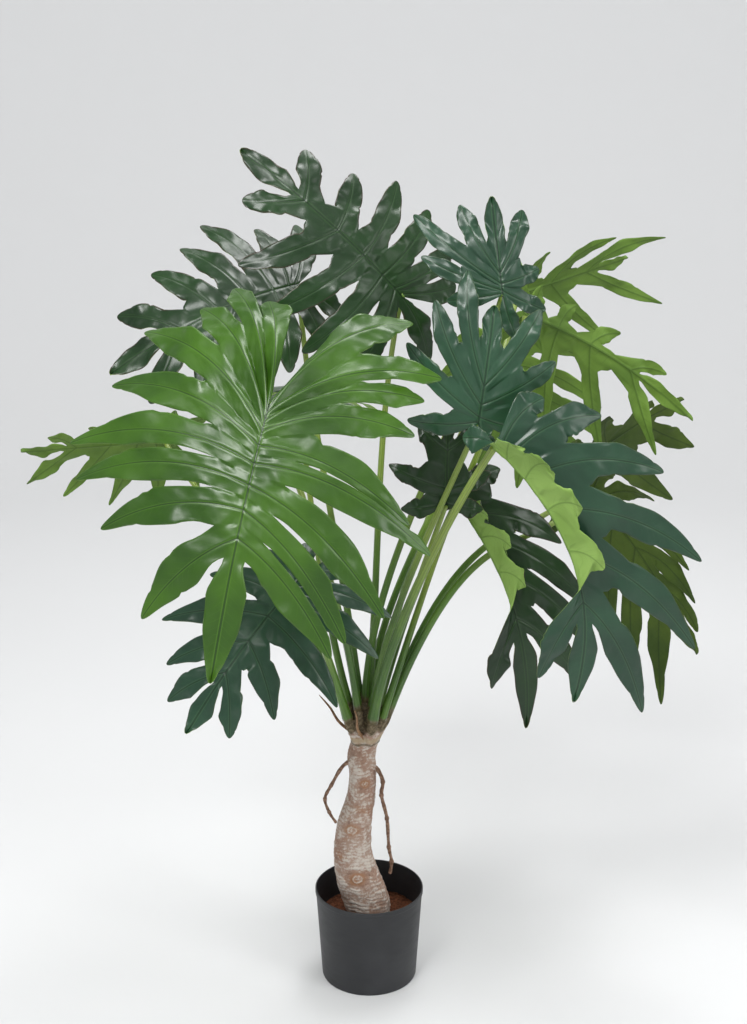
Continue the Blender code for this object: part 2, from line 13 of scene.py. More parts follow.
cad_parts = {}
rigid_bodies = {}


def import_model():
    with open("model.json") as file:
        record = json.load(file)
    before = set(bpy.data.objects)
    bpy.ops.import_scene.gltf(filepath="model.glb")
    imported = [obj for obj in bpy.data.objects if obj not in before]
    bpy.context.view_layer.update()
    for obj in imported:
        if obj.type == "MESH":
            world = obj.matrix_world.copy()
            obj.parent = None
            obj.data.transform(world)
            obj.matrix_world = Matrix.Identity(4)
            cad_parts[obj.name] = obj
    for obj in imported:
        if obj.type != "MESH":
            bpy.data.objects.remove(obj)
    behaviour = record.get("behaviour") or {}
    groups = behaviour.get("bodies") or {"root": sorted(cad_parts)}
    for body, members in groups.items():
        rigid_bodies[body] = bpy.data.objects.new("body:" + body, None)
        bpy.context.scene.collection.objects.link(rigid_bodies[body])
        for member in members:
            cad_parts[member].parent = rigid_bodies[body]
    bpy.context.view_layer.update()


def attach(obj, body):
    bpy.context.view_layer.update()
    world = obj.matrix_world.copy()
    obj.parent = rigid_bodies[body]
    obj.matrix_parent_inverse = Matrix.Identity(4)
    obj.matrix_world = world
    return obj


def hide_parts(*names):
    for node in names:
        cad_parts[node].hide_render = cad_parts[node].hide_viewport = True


for old in list(bpy.data.objects):
    bpy.data.objects.remove(old)
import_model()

# Camera: place, tilt down in degrees, focal length for a sensor 24 mm high
CAMERA_PLACE = (0.0065, -2.117, 1.365)
CAMERA_TILT = 16.87
CAMERA_LENS = 37.5
SENSOR_HEIGHT = 24.0

# Stage: the radius and height of its round wall, the radius of the sweep up to it, and its sides
STAGE_RADIUS = 4.6
STAGE_HEIGHT = 4.0
STAGE_SWEEP = 1.9
STAGE_SIDES = 96
STAGE_COLOR = (0.655, 0.66, 0.665)

# Lights: name, place, target, width and depth, and watts, then the strength of the white sky
LIGHTS = (
    ("key", (-0.9, -1.7, 3.1), (0, 0, 0.8), (0.9, 0.9), 72),
    ("fill light", (2.4, -1.6, 2.2), (0, 0, 0.7), (1.2, 1.2), 30),
    ("top light", (0.5, 0.8, 3.2), (0, 0, 0.7), (1.2, 0.9), 40),
    ("back wall light", (0.3, 1.9, 4.2), (0.3, STAGE_RADIUS, 1.0), (3.0, 0.8), 60),
    ("front wall light", (-0.3, -1.9, 4.2), (-0.3, -STAGE_RADIUS, 1.0), (3.0, 0.8), 60),
)
SKY_STRENGTH = 0.36

# The space left between a stalk and its socket, and round the filling
CLEARANCE = 0.0003

# Crown: its axis and foot, then distance, height and outward lean in degrees of each ring of sockets
CROWN = (-0.006, 0.0)
CROWN_FOOT = 0.376
SOCKET_RINGS = {
    "inner": (0.0082, 0.444, 6),
    "middle": (0.0222, 0.436, 14),
    "outer": (0.0335, 0.422, 20),
}
SOCKET_RADIUS = 0.007
SOCKET_SECTIONS = 12
SOCKET_SIDES = 18
SOCKET_SPREAD = 0.35
SOCKET_STRAIGHT = 0.01

# Trunk: sideways place, height and radius of each ring, then its knots (sideways place, height and
# radius), its roots, the dry bracts and the light band and dark line under the crown (height, width)
TRUNK_STATIONS = ((0.0, 0.07, 0.031), (0.0, 0.097, 0.031), (-0.004, 0.118, 0.034),
                  (-0.017, 0.16, 0.032), (-0.024, 0.201, 0.028), (-0.021, 0.246, 0.025),
                  (-0.013, 0.283, 0.021), (-0.009, 0.323, 0.0195), (-0.011, 0.352, 0.0205),
                  (-0.007, 0.376, 0.0195), (-0.006, 0.398, 0.025))
KNOTS = ((-0.025, 0.246, 0.0095), (-0.017, 0.17, 0.0105), (-0.006, 0.318, 0.0065))
LEFT_ROOT = ((-0.012, -0.008, 0.352), (-0.036, -0.012, 0.345), (-0.055, -0.014, 0.313),
             (-0.064, -0.014, 0.292), (-0.058, -0.013, 0.27), (-0.048, -0.012, 0.252))
RIGHT_ROOT = ((-0.006, -0.006, 0.352), (0.012, -0.01, 0.337), (0.02, -0.012, 0.318),
              (0.018, -0.013, 0.297), (0.026, -0.013, 0.26), (0.029, -0.012, 0.213),
              (0.033, -0.012, 0.189), (0.031, -0.012, 0.169))
LEFT_ROOT_RADIUS = 0.0027
RIGHT_ROOT_RADIUS = 0.0031
BRACT_AZIMUTHS = (188, 257, 37)
BRACT_LENGTH = 0.062
BRACT_FOOT = 0.392
BRACT_COURSE = ((0.018, 0.0), (0.038, 0.3), (0.05, 0.65), (0.066, 1.0))
BRACT_RADII = ((0, 0.005), (0.5, 0.0042), (0.9, 0.0022), (1, 0.0008))
BRACT_SECTIONS = 26
TRUNK_SECTIONS = 60
TRUNK_SIDES = 40
ROOT_SECTIONS = 60
ROOT_SIDES = 12
ROOT_TOP = 0.372
ROOT_JOINT = 1.28
BAND = (0.3875, 0.005)
LINE = (0.3795, 0.002)
CROWN_START = 0.396

# Bark: the size of its voxels, the spacing of its wrinkles, the height of each kind of relief, the
# range of relief that its paint shows, and the ring, the middle and the dish of a knot
BARK_VOXEL = 0.0011
WRINKLE_SPACING = 0.0058
LUMP = 0.0007
WRINKLE = 0.0011
CRACK = 0.0008
CRUMB = 0.00035
RELIEF_RANGE = 0.003
KNOT_RING = 0.0011
KNOT_MIDDLE = 0.0009
KNOT_DISH = 0.0004

# Pot: its foot as (distance in from the base, height) and its lip as (distance in, distance down),
# with the step out to it. Filling: its top, its hole, and the height of its lumps and mounds
POT_HEIGHT = 0.142
POT_RIM_RADIUS = 0.08
POT_BASE_RADIUS = 0.0705
POT_WALL = 0.002
POT_FLOOR = 0.003
POT_STEPS = 160
POT_FOOT = ((0.006, 0.0008), (0.005, 0.0), (0.0015, 0.0), (0.0004, 0.0005), (0.0, 0.0018))
POT_LIP = ((0.0002, 0.0076), (0.0, 0.0068))
POT_LIP_STEP = 0.0012
POT_WALL_START = 0.0018
POT_WALL_END = 0.01
FILL_TOP = 0.094
FILL_BEVEL = 0.002
FILL_HOLE = 0.029
FILL_HOLE_FLOOR = 0.06
FILL_LUMP = 0.001
FILL_MOUND = 0.0018
FILL_STEPS = 150

# Stalks: the foot and the head swell by a share of the radius over a share of the length
STALK_SIDES = 20
STALK_SECTIONS = 64
STALK_BASE_RADIUS = 0.0055
STALK_TIP_RADIUS = 0.0034
STALK_RISE = 0.33
STALK_ARRIVAL = 0.35
STALK_FOOT = (0.18, 0.05)
STALK_HEAD = (0.12, 0.03)
STALK_RIPPLE = 0.025
STALK_RIPPLES = 5
HUB_CLEARANCE = 0.0005

# Blades: the first lobe starts at ROOT_START of the midrib, the last SPREAD and the end lobe
# SPREAD + END_START after it. EDGE_WAVE is the height of the long waves of the lobes' edges
BLADE_THICKNESS = 0.0009
WEB = 0.2
LOBE_GAP = 0.44
LOBE_SWEEP = 0.2
EDGE_WAVE = 0.0035
DROOP = 0.2
SAG = 0.1
ROOT_START = 0.02
SPREAD = 0.6
END_START = 0.06
ROOT_CROWDING = 1.8
TAPER = 0.4
WEB_SHARES = np.array([0, 0.02, 0.045, 0.08, 0.125, 0.18, 0.24, 0.31,
                       0.38, 0.46, 0.54, 0.63, 0.72, 0.81, 0.9, 1])
FREE_ROWS = 28
ACROSS = np.array([0, 0.05, 0.11, 0.19, 0.3, 0.44, 0.6, 0.76, 0.9, 1.0])
SINUS_BLEND = 0.14
VEIN_SAMPLES = 25
LOBE_SAMPLES = 30
SPINE_SAMPLES = 60
INSIDE = 0.03

# Lobe outline as shares of its half width: its root, its swell, its waves (height, pace and turn of
# the phase) and its nicks. Then the small wave of the edge
LOBE_ROOT = 0.86
LOBE_SWELL = 0.2
LOBE_WAVES = ((0.05, 9, 1), (0.02, 21, 2.3))
NICKS = 2
NICK_DEPTH = 0.11
NICK_WIDTH = 0.022
SMALL_WAVE = 0.0012

# Blade relief: height and half width of each groove, shoulder and rib, how far the shoulder lies
# from its vein, and height and length of the pleats and the swell
VEIN_GROOVE = (0.0008, 0.0011)
MIDRIB_GROOVE = (0.0013, 0.0018)
VEIN_SHOULDER = (0.0006, 0.0018)
SHOULDER_PLACE = 0.0032
VEIN_RIB = (0.0013, 0.0013)
MIDRIB_RIB = (0.003, 0.0022)
PLEAT = (0.0005, 0.023)
PLEAT_LEAN = 0.7
SWELL = (0.0011, 0.061)
MARGIN = 0.002
MARGIN_THICKNESS = 0.45
MIDRIB_SCALE = 0.7

# Blade paint: the side veins' spacing and slant, the width of the painted shade along the veins' grooves and
# of the painted highlight beside it, and the width of the margin
SIDE_VEIN_SPACING = 0.0095
SIDE_VEIN_SLANT = 1.1
VEIN_SHADE_WIDTH = (0.0012, 0.0003)
VEIN_HIGHLIGHT = ((0.0021, 0.0013), (0.0007, 0.0012))
RIB_LINE = (0.0018, 0.0005)
MARGIN_LINE = 0.0012
VEIN_SHADE = (0.004, 0.018, 0.004)

# Colours of the other paints, in linear light
STALK_TONES = {
    "dark": (0.05, 0.125, 0.016),
    "green": (0.095, 0.2, 0.022),
    "upper": (0.24, 0.33, 0.055),
    "line": (0.03, 0.08, 0.012),
    "speck": (0.28, 0.33, 0.1),
    "base": (0.12, 0.1, 0.045),
}
BARK_TONES = {
    "dark": (0.33, 0.205, 0.15),
    "light": (0.4, 0.285, 0.225),
    "patch": (0.36, 0.175, 0.085),
    "knot": (0.33, 0.155, 0.07),
    "wash": (0.62, 0.57, 0.51),
    "crack_shade": (0.13, 0.075, 0.052),
    "crown": ((0.09, 0.07, 0.04), (0.24, 0.19, 0.12)),
    "band": (0.4, 0.32, 0.2),
    "line": (0.055, 0.06, 0.025),
    "root": ((0.13, 0.07, 0.045), (0.3, 0.19, 0.13)),
}
BRACT_TONES = ((0.16, 0.08, 0.04), (0.4, 0.24, 0.13))
POT_TONES = ((0.02, 0.021, 0.023), (0.03, 0.031, 0.034))
DUST = (0.3, 0.3, 0.3)
FILL_TONES = ((0.035, 0.012, 0.006), (0.17, 0.062, 0.03))
FILL_CLOUD = (0.1, 0.035, 0.018)

# The green of each blade's upper side, darker and brighter, the line of its veins, which also paints the
# highlight beside each vein's groove, and its margin
GREENS = {
    "front": ((0.018, 0.06, 0.003), (0.04, 0.11, 0.005), (0.085, 0.2, 0.015), (0.05, 0.12, 0.01)),
    "usual": ((0.005, 0.021, 0.005), (0.01, 0.038, 0.008), (0.03, 0.085, 0.016), (0.05, 0.022, 0.018)),
    "blue": ((0.012, 0.043, 0.022), (0.022, 0.07, 0.035), (0.05, 0.13, 0.05), (0.03, 0.055, 0.022)),
    "leafy": ((0.014, 0.05, 0.008), (0.03, 0.085, 0.012), (0.06, 0.15, 0.022), (0.035, 0.07, 0.012)),
}
GREEN_OF = {"front": "front", "centre_right": "blue", "upper_right": "blue", "right": "blue",
            "lower_left": "blue", "arching": "leafy", "top_right": "leafy", "far_left": "leafy",
            "back_right": "leafy", "behind": "leafy"}
# The green of each underside, lighter and darker, and its ribs. The olive set is painted shade: a dark copy
# of the underside for leaves whose undersides lie in shadow
UNDERS = {
    "usual": ((0.24, 0.38, 0.09), (0.18, 0.3, 0.06), (0.075, 0.15, 0.025)),
    "shaded_olive": ((0.06, 0.1, 0.012), (0.035, 0.066, 0.008), (0.012, 0.03, 0.004)),
    "leafy": ((0.13, 0.23, 0.035), (0.085, 0.16, 0.024), (0.04, 0.085, 0.012)),
}
# The leaves given the olive set have their undersides painted dark as shade.
UNDER_OF = {"far_right": "shaded_olive", "low_right_back": "shaded_olive", "back_right": "leafy", "arching": "leafy",
            "top_right": "leafy", "far_left": "leafy"}

# Each leaf: its hub and its tip, the way its upper face looks, how far the midrib bows towards that
# face and bends to the left, the half width of a lobe, and its socket (ring and azimuth in degrees).
# Some have their own spread, sag of the lobes, taper towards their tips and reach of the web between
# them, and a stalk with its own thickness, rise before it turns, and clearance under the blade. Then
# come the lobes from the hub to the tip, left and right as seen on the upper face with the tip
# pointing away: each has its angle from the midrib and its length in millimetres, and some have
# their own web, and then how far they are folded up out of the blade, in degrees.
LEAVES = {
    "front": dict(
        hub=(-0.115, -0.3, 0.945), tip=(-0.18, -0.42, 0.645), face=(-0.1, -0.9, 0.4),
        bow=0.02, spread=0.47, sag=0.2, half_width=0.023, socket=("middle", 245), clearance=0.0009,
        right=((165, 205, 0.7), (155, 245, 0.65), (145, 235, 0.6), (130, 260, 0.5), (115, 240, 0.35),
               (100, 255), (95, 230), (85, 180), (50, 135)),
        left=((150, 250, 0.6), (130, 230, 0.6), (125, 200, 0.55), (115, 180, 0.45), (85, 180, 0.25),
              (85, 210), (65, 190), (55, 165), (55, 150)),
    ),
    "upper_left": dict(
        hub=(-0.095, 0.06, 1.03), tip=(-0.345, -0.02, 0.92), face=(-0.1, -0.75, 0.6),
        bow=0.03, sag=0.0, web=0.25, taper=0.2, half_width=0.019, socket=("inner", 160),
        right=((122, 140), (98, 125), (80, 160), (73, 135), (66, 120), (50, 100)),
        left=((125, 95), (95, 105), (75, 120), (62, 125), (50, 125), (38, 105)),
    ),
    "top": dict(
        hub=(0.045, -0.02, 1.025), tip=(-0.168, 0.02, 1.211), face=(0.0, -0.75, 0.6),
        bow=0.02, sag=0.0, taper=0.1, half_width=0.017, socket=("inner", 40),
        right=((125, 95, 0.5), (104, 112, 0.4), (86, 125, 0.3), (75, 125), (66, 90), (52, 80)),
        left=((165, 100), (108, 140), (88, 145), (75, 145), (62, 135), (38, 80)),
    ),
    "upper_right": dict(
        hub=(0.17, -0.1, 1.04), tip=(0.155, -0.07, 1.16), face=(0.0, -0.9, 0.4),
        bow=0.0, spread=0.2, sag=0.08, taper=0.2, half_width=0.012, socket=("inner", 280),
        right=((165, 60, 0.3), (115, 60, 0.4), (70, 55, 0.5), (25, 95, 0.55)),
        left=((85, 70, 0.4), (55, 115, 0.4), (40, 150, 0.45), (20, 110, 0.5)),
    ),
    "centre_right": dict(
        hub=(0.138, -0.165, 0.888), tip=(0.157, -0.14, 1.034), face=(0.0, -0.95, 0.3),
        bow=0.01, spread=0.3, sag=0.08, taper=0.2, half_width=0.0135, socket=("middle", 297),
        right=((150, 40, 0.4), (95, 65, 0.5), (50, 110, 0.5), (27, 125, 0.55)),
        left=((95, 90, 0.3), (50, 135, 0.35), (30, 150, 0.45), (15, 155, 0.5)),
    ),
    "right": dict(
        hub=(0.155, -0.22, 0.873), tip=(0.266, -0.2, 0.527), face=(0.0, -0.95, 0.2),
        bow=0.02, bend=0.05, sag=0.3, half_width=0.02, socket=("outer", 290), stalk=1.3, clearance=0.0,
        right=((170, 55, 0.5), (120, 60, 0.7, 140), (108, 65, 0.7, 150), (95, 60, 0.6, 152),
               (75, 50, 0.6, 148), (45, 90, 0.3, 20)),
        left=((105, 110, 0.6), (85, 150, 0.5), (68, 185, 0.4), (52, 205, 0.3), (40, 200, 0.25),
              (26, 160)),
    ),
    "lower_right": dict(
        hub=(0.121, -0.028, 0.746), tip=(0.22, -0.058, 0.425), face=(0.0, -0.95, 0.2),
        bow=0.02, bend=0.03, spread=0.5, sag=0.3, half_width=0.017, socket=("outer", 318),
        right=((150, 45, 0.5), (85, 50, 0.6, 140), (75, 55, 0.6, 145), (75, 50, 0.6, 140),
               (40, 80, 0.4, 30)),
        left=((110, 95, 0.5), (55, 130, 0.4), (40, 165, 0.35), (38, 150, 0.3), (38, 120)),
    ),
    "far_right": dict(
        hub=(0.304, 0.15, 0.744), tip=(0.467, 0.2, 0.837), face=(0.0, 0.85, 0.5),
        bow=0.01, web=0.3, half_width=0.017, socket=("outer", 15), rise=0.85,
        right=((130, 80), (105, 80), (80, 70), (60, 50)),
        left=((120, 110), (88, 145), (64, 155), (48, 100)),
    ),
    "arching": dict(
        hub=(0.213, 0.05, 0.989), tip=(0.457, 0.08, 0.833), face=(0.1, 0.9, 0.4),
        bow=0.03, sag=0.25, web=0.15, half_width=0.012, socket=("middle", 23),
        right=((130, 75, 0.15, 30), (105, 60, 0.15, 50), (80, 50, 0.15, 50), (60, 50, 0.15, 40),
               (45, 50, 0.15, 20)),
        left=((112, 120), (85, 135), (62, 150), (46, 145), (30, 105)),
    ),
    "top_right": dict(
        hub=(0.212, 0.2, 0.992), tip=(0.387, 0.28, 1.035), face=(0.0, 0.9, 0.4),
        bow=0.0, web=0.15, half_width=0.011, socket=("middle", 70),
        right=((125, 70), (70, 80), (38, 120), (22, 130)),
        left=((115, 90), (75, 110), (48, 140), (28, 140)),
    ),
    "back_right": dict(
        hub=(0.203, 0.32, 0.91), tip=(0.31, 0.37, 0.665), face=(0.1, 0.85, 0.5),
        bow=0.0, web=0.25, half_width=0.015, socket=("outer", 60),
        right=((115, 85), (75, 125), (55, 145), (48, 135), (40, 95)),
        left=((110, 85), (85, 125), (68, 135), (54, 130), (40, 100)),
    ),
    "far_left": dict(
        hub=(-0.301, 0.17, 0.782), tip=(-0.503, 0.12, 0.777), face=(-0.1, 0.8, 0.6),
        bow=0.0, sag=0.02, half_width=0.013, socket=("outer", 150),
        right=((120, 110), (90, 115), (68, 120), (48, 110), (34, 90)),
        left=((130, 95), (105, 95), (80, 80), (62, 70), (48, 60)),
    ),
    "lower_left": dict(
        hub=(-0.089, -0.16, 0.682), tip=(-0.233, -0.24, 0.499), face=(-0.1, -0.8, 0.6),
        bow=0.02, sag=0.04, half_width=0.017, socket=("outer", 225), stalk=1.2,
        right=((150, 65), (105, 80), (78, 110), (58, 145), (44, 115), (34, 90)),
        left=((145, 80), (115, 130), (98, 140), (76, 140), (55, 100), (36, 80)),
    ),
    "centre": dict(
        hub=(0.103, -0.08, 0.757), tip=(0.105, -0.07, 0.874), face=(0.0, -0.9, 0.4),
        bow=0.0, web=0.4, half_width=0.013, socket=("middle", 340),
        right=((95, 50), (65, 65), (45, 55)),
        left=((95, 60), (65, 85), (45, 55)),
    ),
    "low_right_back": dict(
        hub=(0.309, 0.03, 0.746), tip=(0.466, 0.0, 0.511), face=(0.3, 0.85, 0.45),
        bow=0.02, sag=0.25, half_width=0.016, socket=("outer", 345), rise=0.85,
        right=((120, 110), (90, 105), (45, 115), (35, 100), (28, 70)),
        left=((85, 85), (45, 125), (35, 165), (32, 175), (27, 140)),
    ),
    "behind": dict(
        hub=(-0.1, 0.12, 0.86), tip=(-0.14, 0.4, 0.76), face=(0.0, 0.35, 0.93),
        bow=0.03, half_width=0.016, socket=("middle", 190),
        right=((140, 90), (110, 120), (85, 140), (65, 140), (48, 120)),
        left=((140, 90), (110, 120), (85, 140), (65, 140), (48, 120)),
    ),
}


def unit(vector):
    vector = np.asarray(vector, float)
    return vector / np.linalg.norm(vector)


def units(vectors):
    return vectors / np.maximum(np.linalg.norm(vectors, axis=-1, keepdims=True), 1e-12)


def smoothstep(x):
    x = np.clip(x, 0, 1)
    return x * x * (3 - 2 * x)


def ridge(distance, height, width):
    """A rounded ridge of that height, whose sides fall away over that width."""
    return height * np.exp(-((distance / width) ** 2))


def smooth_path(points, count):
    """Points at even steps of a Catmull-Rom curve through the given ones."""
    points = np.asarray(points, float)
    ends = np.vstack([2 * points[0] - points[1], points, 2 * points[-1] - points[-2]])
    spans = len(points) - 1
    path = []
    for along in np.linspace(0, spans, count):
        i = min(int(along), spans - 1)
        t = along - i
        a, b, c, d = ends[i : i + 4]
        path.append(0.5 * (2 * b + (c - a) * t + (2 * a - 5 * b + 4 * c - d) * t**2
                           + (3 * b - a - 3 * c + d) * t**3))
    return np.array(path)


def bezier(a, b, c, d, count):
    """Points on a cubic curve with the four given control points."""
    t = np.linspace(0, 1, count)[:, None]
    return a * (1 - t) ** 3 + 3 * b * t * (1 - t) ** 2 + 3 * c * t**2 * (1 - t) + d * t**3


def beside_path(points, path):
    """For each point: its distance to the path, and how far along the path its nearest place lies."""
    start = path[:-1]
    step = path[1:] - start
    length = np.linalg.norm(step, axis=1)
    reach = np.concatenate([[0], np.cumsum(length)[:-1]])
    best = np.full(len(points), np.inf)
    along = np.zeros(len(points))
    for a, b, size, done in zip(start, step, length, reach):
        t = np.clip((points - a) @ b / size**2, 0, 1)
        distance = np.linalg.norm(points - a - t[:, None] * b, axis=1)
        closer = distance < best
        best[closer] = distance[closer]
        along[closer] = done + t[closer] * size
    return best, along


def linked(name, data):
    """A new object in the scene."""
    obj = bpy.data.objects.new(name, data)
    bpy.context.scene.collection.objects.link(obj)
    return obj


def add_fields(mesh, fields):
    """Float fields on the mesh's points, for its paint to read."""
    for key, values in fields.items():
        field = mesh.attributes.new(key, "FLOAT", "POINT")
        field.data.foreach_set("value", np.asarray(values, np.float32))


def new_object(name, verts, faces, materials, indices=None, **fields):
    """A smooth mesh object with its materials, the material of each face, and its float fields."""
    mesh = bpy.data.meshes.new(name)
    mesh.from_pydata(np.asarray(verts).tolist(), [], faces)
    for material in materials:
        mesh.materials.append(material)
    if indices is not None:
        mesh.polygons.foreach_set("material_index", indices)
    add_fields(mesh, fields)
    mesh.shade_smooth()
    return linked(name, mesh)


def placed(obj, slot, *nodes):
    """The piece rides on the plant and stands for the nodes, which it hides. The slot is not used."""
    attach(obj, "root")
    if nodes:
        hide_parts(*nodes)
    return obj


def tube_mesh(path, radii, sides, squash=1.0, ways=None, ripple=0.0, ripples=0):
    """Vertices and faces of a closed tube with flat ends, and each vertex's angle round it."""
    path = np.asarray(path, float)
    tangents = [unit(t) for t in np.gradient(path, axis=0)]
    if ways is not None:
        tangents[0], tangents[-1] = ways
    across = unit(np.cross(tangents[0], (0.0, 1.0, 0.02)))
    verts = []
    turns = []
    for point, tangent, radius in zip(path, tangents, radii):
        across = unit(across - tangent * (across @ tangent))
        third = np.cross(tangent, across)
        for k in range(sides):
            angle = 2 * math.pi * k / sides
            size = radius * (1 + ripple * math.cos(ripples * angle))
            verts.append(point + size * (squash * math.cos(angle) * across + math.sin(angle) * third))
            turns.append(angle)
    faces = [tuple(range(sides))[::-1], tuple(range(len(verts) - sides, len(verts)))]
    for ring in range(len(path) - 1):
        for k in range(sides):
            low = ring * sides + k
            high = ring * sides + (k + 1) % sides
            faces.append((low, high, high + sides, low + sides))
    return verts, faces, turns


class Paint:
    """A material under construction: short calls that add its nodes and join them."""

    def __init__(self, name, roughness=0.5, specular=0.5):
        self.material = bpy.data.materials.new(name)
        self.material.use_nodes = True
        self.nodes = self.material.node_tree.nodes
        self.links = self.material.node_tree.links
        self.shader = self.nodes["Principled BSDF"]
        self.shader.inputs["Roughness"].default_value = roughness
        self.shader.inputs["Specular IOR Level"].default_value = specular
        self.place = self.nodes.new("ShaderNodeTexCoord").outputs["Object"]

    def set(self, socket, value):
        if isinstance(value, bpy.types.NodeSocket):
            self.links.new(value, socket)
        elif isinstance(value, tuple) and len(socket.default_value) == len(value) + 1:
            socket.default_value = (*value, 1)
        else:
            socket.default_value = value

    def add(self, kind, output, inputs, **settings):
        """Adds a node with its settings and inputs, and gives the output asked for."""
        node = self.nodes.new("ShaderNode" + kind)
        for key, value in settings.items():
            setattr(node, key, value)
        for key, value in inputs.items():
            self.set(node.inputs[key], value)
        return node.outputs[output]

    def field(self, name):
        return self.add("Attribute", "Fac", {}, attribute_name=name)

    def math(self, operation, a, b=0.0):
        return self.add("Math", 0, {0: a, 1: b}, operation=operation)

    def times(self, a, b):
        return self.math("MULTIPLY", a, b)

    def plus(self, a, b):
        return self.math("ADD", a, b)

    def noise(self, scale, detail=3.0, roughness=0.55, stretch=None):
        place = self.place
        if stretch:
            place = self.add("Mapping", "Vector", {"Vector": place, "Scale": stretch})
        inputs = {"Vector": place, "Scale": scale, "Detail": detail, "Roughness": roughness}
        return self.add("TexNoise", "Fac", inputs)

    def spots(self, scale):
        return self.add("TexVoronoi", "Distance", {"Vector": self.place, "Scale": scale})

    def step(self, value, low, high):
        """0 at low, 1 at high, smooth between. Low may be the larger."""
        turned = low > high
        inputs = {"Value": value, "From Min": min(low, high), "From Max": max(low, high),
                  "To Min": float(turned), "To Max": float(not turned)}
        return self.add("MapRange", "Result", inputs, interpolation_type="SMOOTHSTEP")

    def mix(self, share, a, b):
        return self.add("Mix", 2, {"Factor": share, 6: a, 7: b}, data_type="RGBA")

    def over(self, color, mask, share, tint):
        """The colour with that share of the tint laid over it where the mask is."""
        return self.mix(self.times(mask, share), color, tint)

    def bump(self, height, distance, strength=1.0, before=None):
        inputs = {"Height": height, "Distance": distance, "Strength": strength}
        if before:
            inputs["Normal"] = before
        return self.add("Bump", "Normal", inputs)

    def finish(self, color, roughness=None, normal=None):
        self.set(self.shader.inputs["Base Color"], color)
        if roughness is not None:
            self.set(self.shader.inputs["Roughness"], roughness)
        if normal is not None:
            self.links.new(normal, self.shader.inputs["Normal"])
        return self.material


def side_veins(paint, vein, along, width, reach):
    """A mask of the slanting side veins: their width as a share of their spacing, and their reach."""
    slant = paint.math("SUBTRACT", along, paint.times(vein, SIDE_VEIN_SLANT))
    saw = paint.math("FRACT", paint.math("DIVIDE", slant, SIDE_VEIN_SPACING))
    return paint.times(paint.step(saw, width, 0.0), paint.step(vein, reach, 0.002))


def upper_paint(name, dark, bright, line, margin):
    """The waxy upper side of a blade: clouded green, grooved veins with painted shade along the groove and a
    light line of painted highlight beside it, a tinted margin.
    """
    paint = Paint(name, specular=0.42)
    vein = paint.field("vein")
    color = paint.mix(paint.step(paint.noise(8.0), 0.35, 0.68), dark, bright)
    along = paint.plus(paint.field("along"), paint.times(paint.noise(110.0, 2.0), 0.006))
    side_line = side_veins(paint, vein, along, 0.13, 0.016)
    color = paint.over(color, side_line, 0.16, line)
    # Painted shade: a dark line along the middle of each vein's groove.
    color = paint.over(color, paint.step(vein, *VEIN_SHADE_WIDTH), 0.6, VEIN_SHADE)
    # Painted highlight: a light line on either side of each vein's groove, in the vein line's green.
    border = paint.times(*[paint.step(vein, *limits) for limits in VEIN_HIGHLIGHT])
    color = paint.over(color, border, 0.38, line)
    edge = paint.plus(paint.field("rim"), paint.times(paint.noise(160.0, 2.0), -MARGIN_LINE))
    color = paint.over(color, paint.step(edge, MARGIN_LINE, 0.0), 0.6, margin)
    normal = paint.bump(paint.noise(950.0, 2.0), 0.0001, 0.3)
    normal = paint.bump(paint.noise(170.0, 2.0), 0.0005, 0.1, before=normal)
    normal = paint.bump(side_line, 0.0004, -0.25, before=normal)
    roughness = paint.plus(paint.times(paint.noise(30.0), 0.2), 0.26)
    return paint.finish(color, roughness, normal)


def under_paint(name, green, shade, rib):
    """The matte light underside of a blade, with darker ribs."""
    paint = Paint(name, roughness=0.62, specular=0.25)
    vein = paint.field("vein")
    color = paint.mix(paint.step(paint.noise(14.0), 0.35, 0.7), green, shade)
    side_line = side_veins(paint, vein, paint.field("along"), 0.14, 0.018)
    color = paint.over(color, side_line, 0.3, rib)
    color = paint.over(color, paint.step(vein, *RIB_LINE), 0.5, rib)
    normal = paint.bump(paint.noise(700.0, 2.0), 0.0002, 0.4)
    return paint.finish(color, normal=paint.bump(side_line, 0.0004, 0.3, before=normal))


def stalk_paint():
    """Clouded green that turns yellow-green upwards, with fine dark lines and light specks."""
    paint = Paint("stalk paint", roughness=0.34)
    tone = STALK_TONES
    share = paint.field("share")
    cloud = paint.noise(30.0, stretch=(1, 1, 0.2))
    green = paint.mix(paint.step(cloud, 0.35, 0.65), tone["dark"], tone["green"])
    color = paint.mix(paint.step(share, 0.25, 0.7), green, tone["upper"])
    lines = paint.math("SINE", paint.times(paint.field("turn"), 9.0))
    color = paint.over(color, paint.step(lines, 0.4, 1.0), 0.35, tone["line"])
    color = paint.over(color, paint.step(paint.spots(420.0), 0.22, 0.1), 0.35, tone["speck"])
    base = paint.plus(share, paint.times(paint.noise(90.0, 2.0), 0.02))
    color = paint.mix(paint.step(base, 0.032, 0.018), color, tone["base"])
    return paint.finish(color, normal=paint.bump(lines, 0.0003, 0.5))


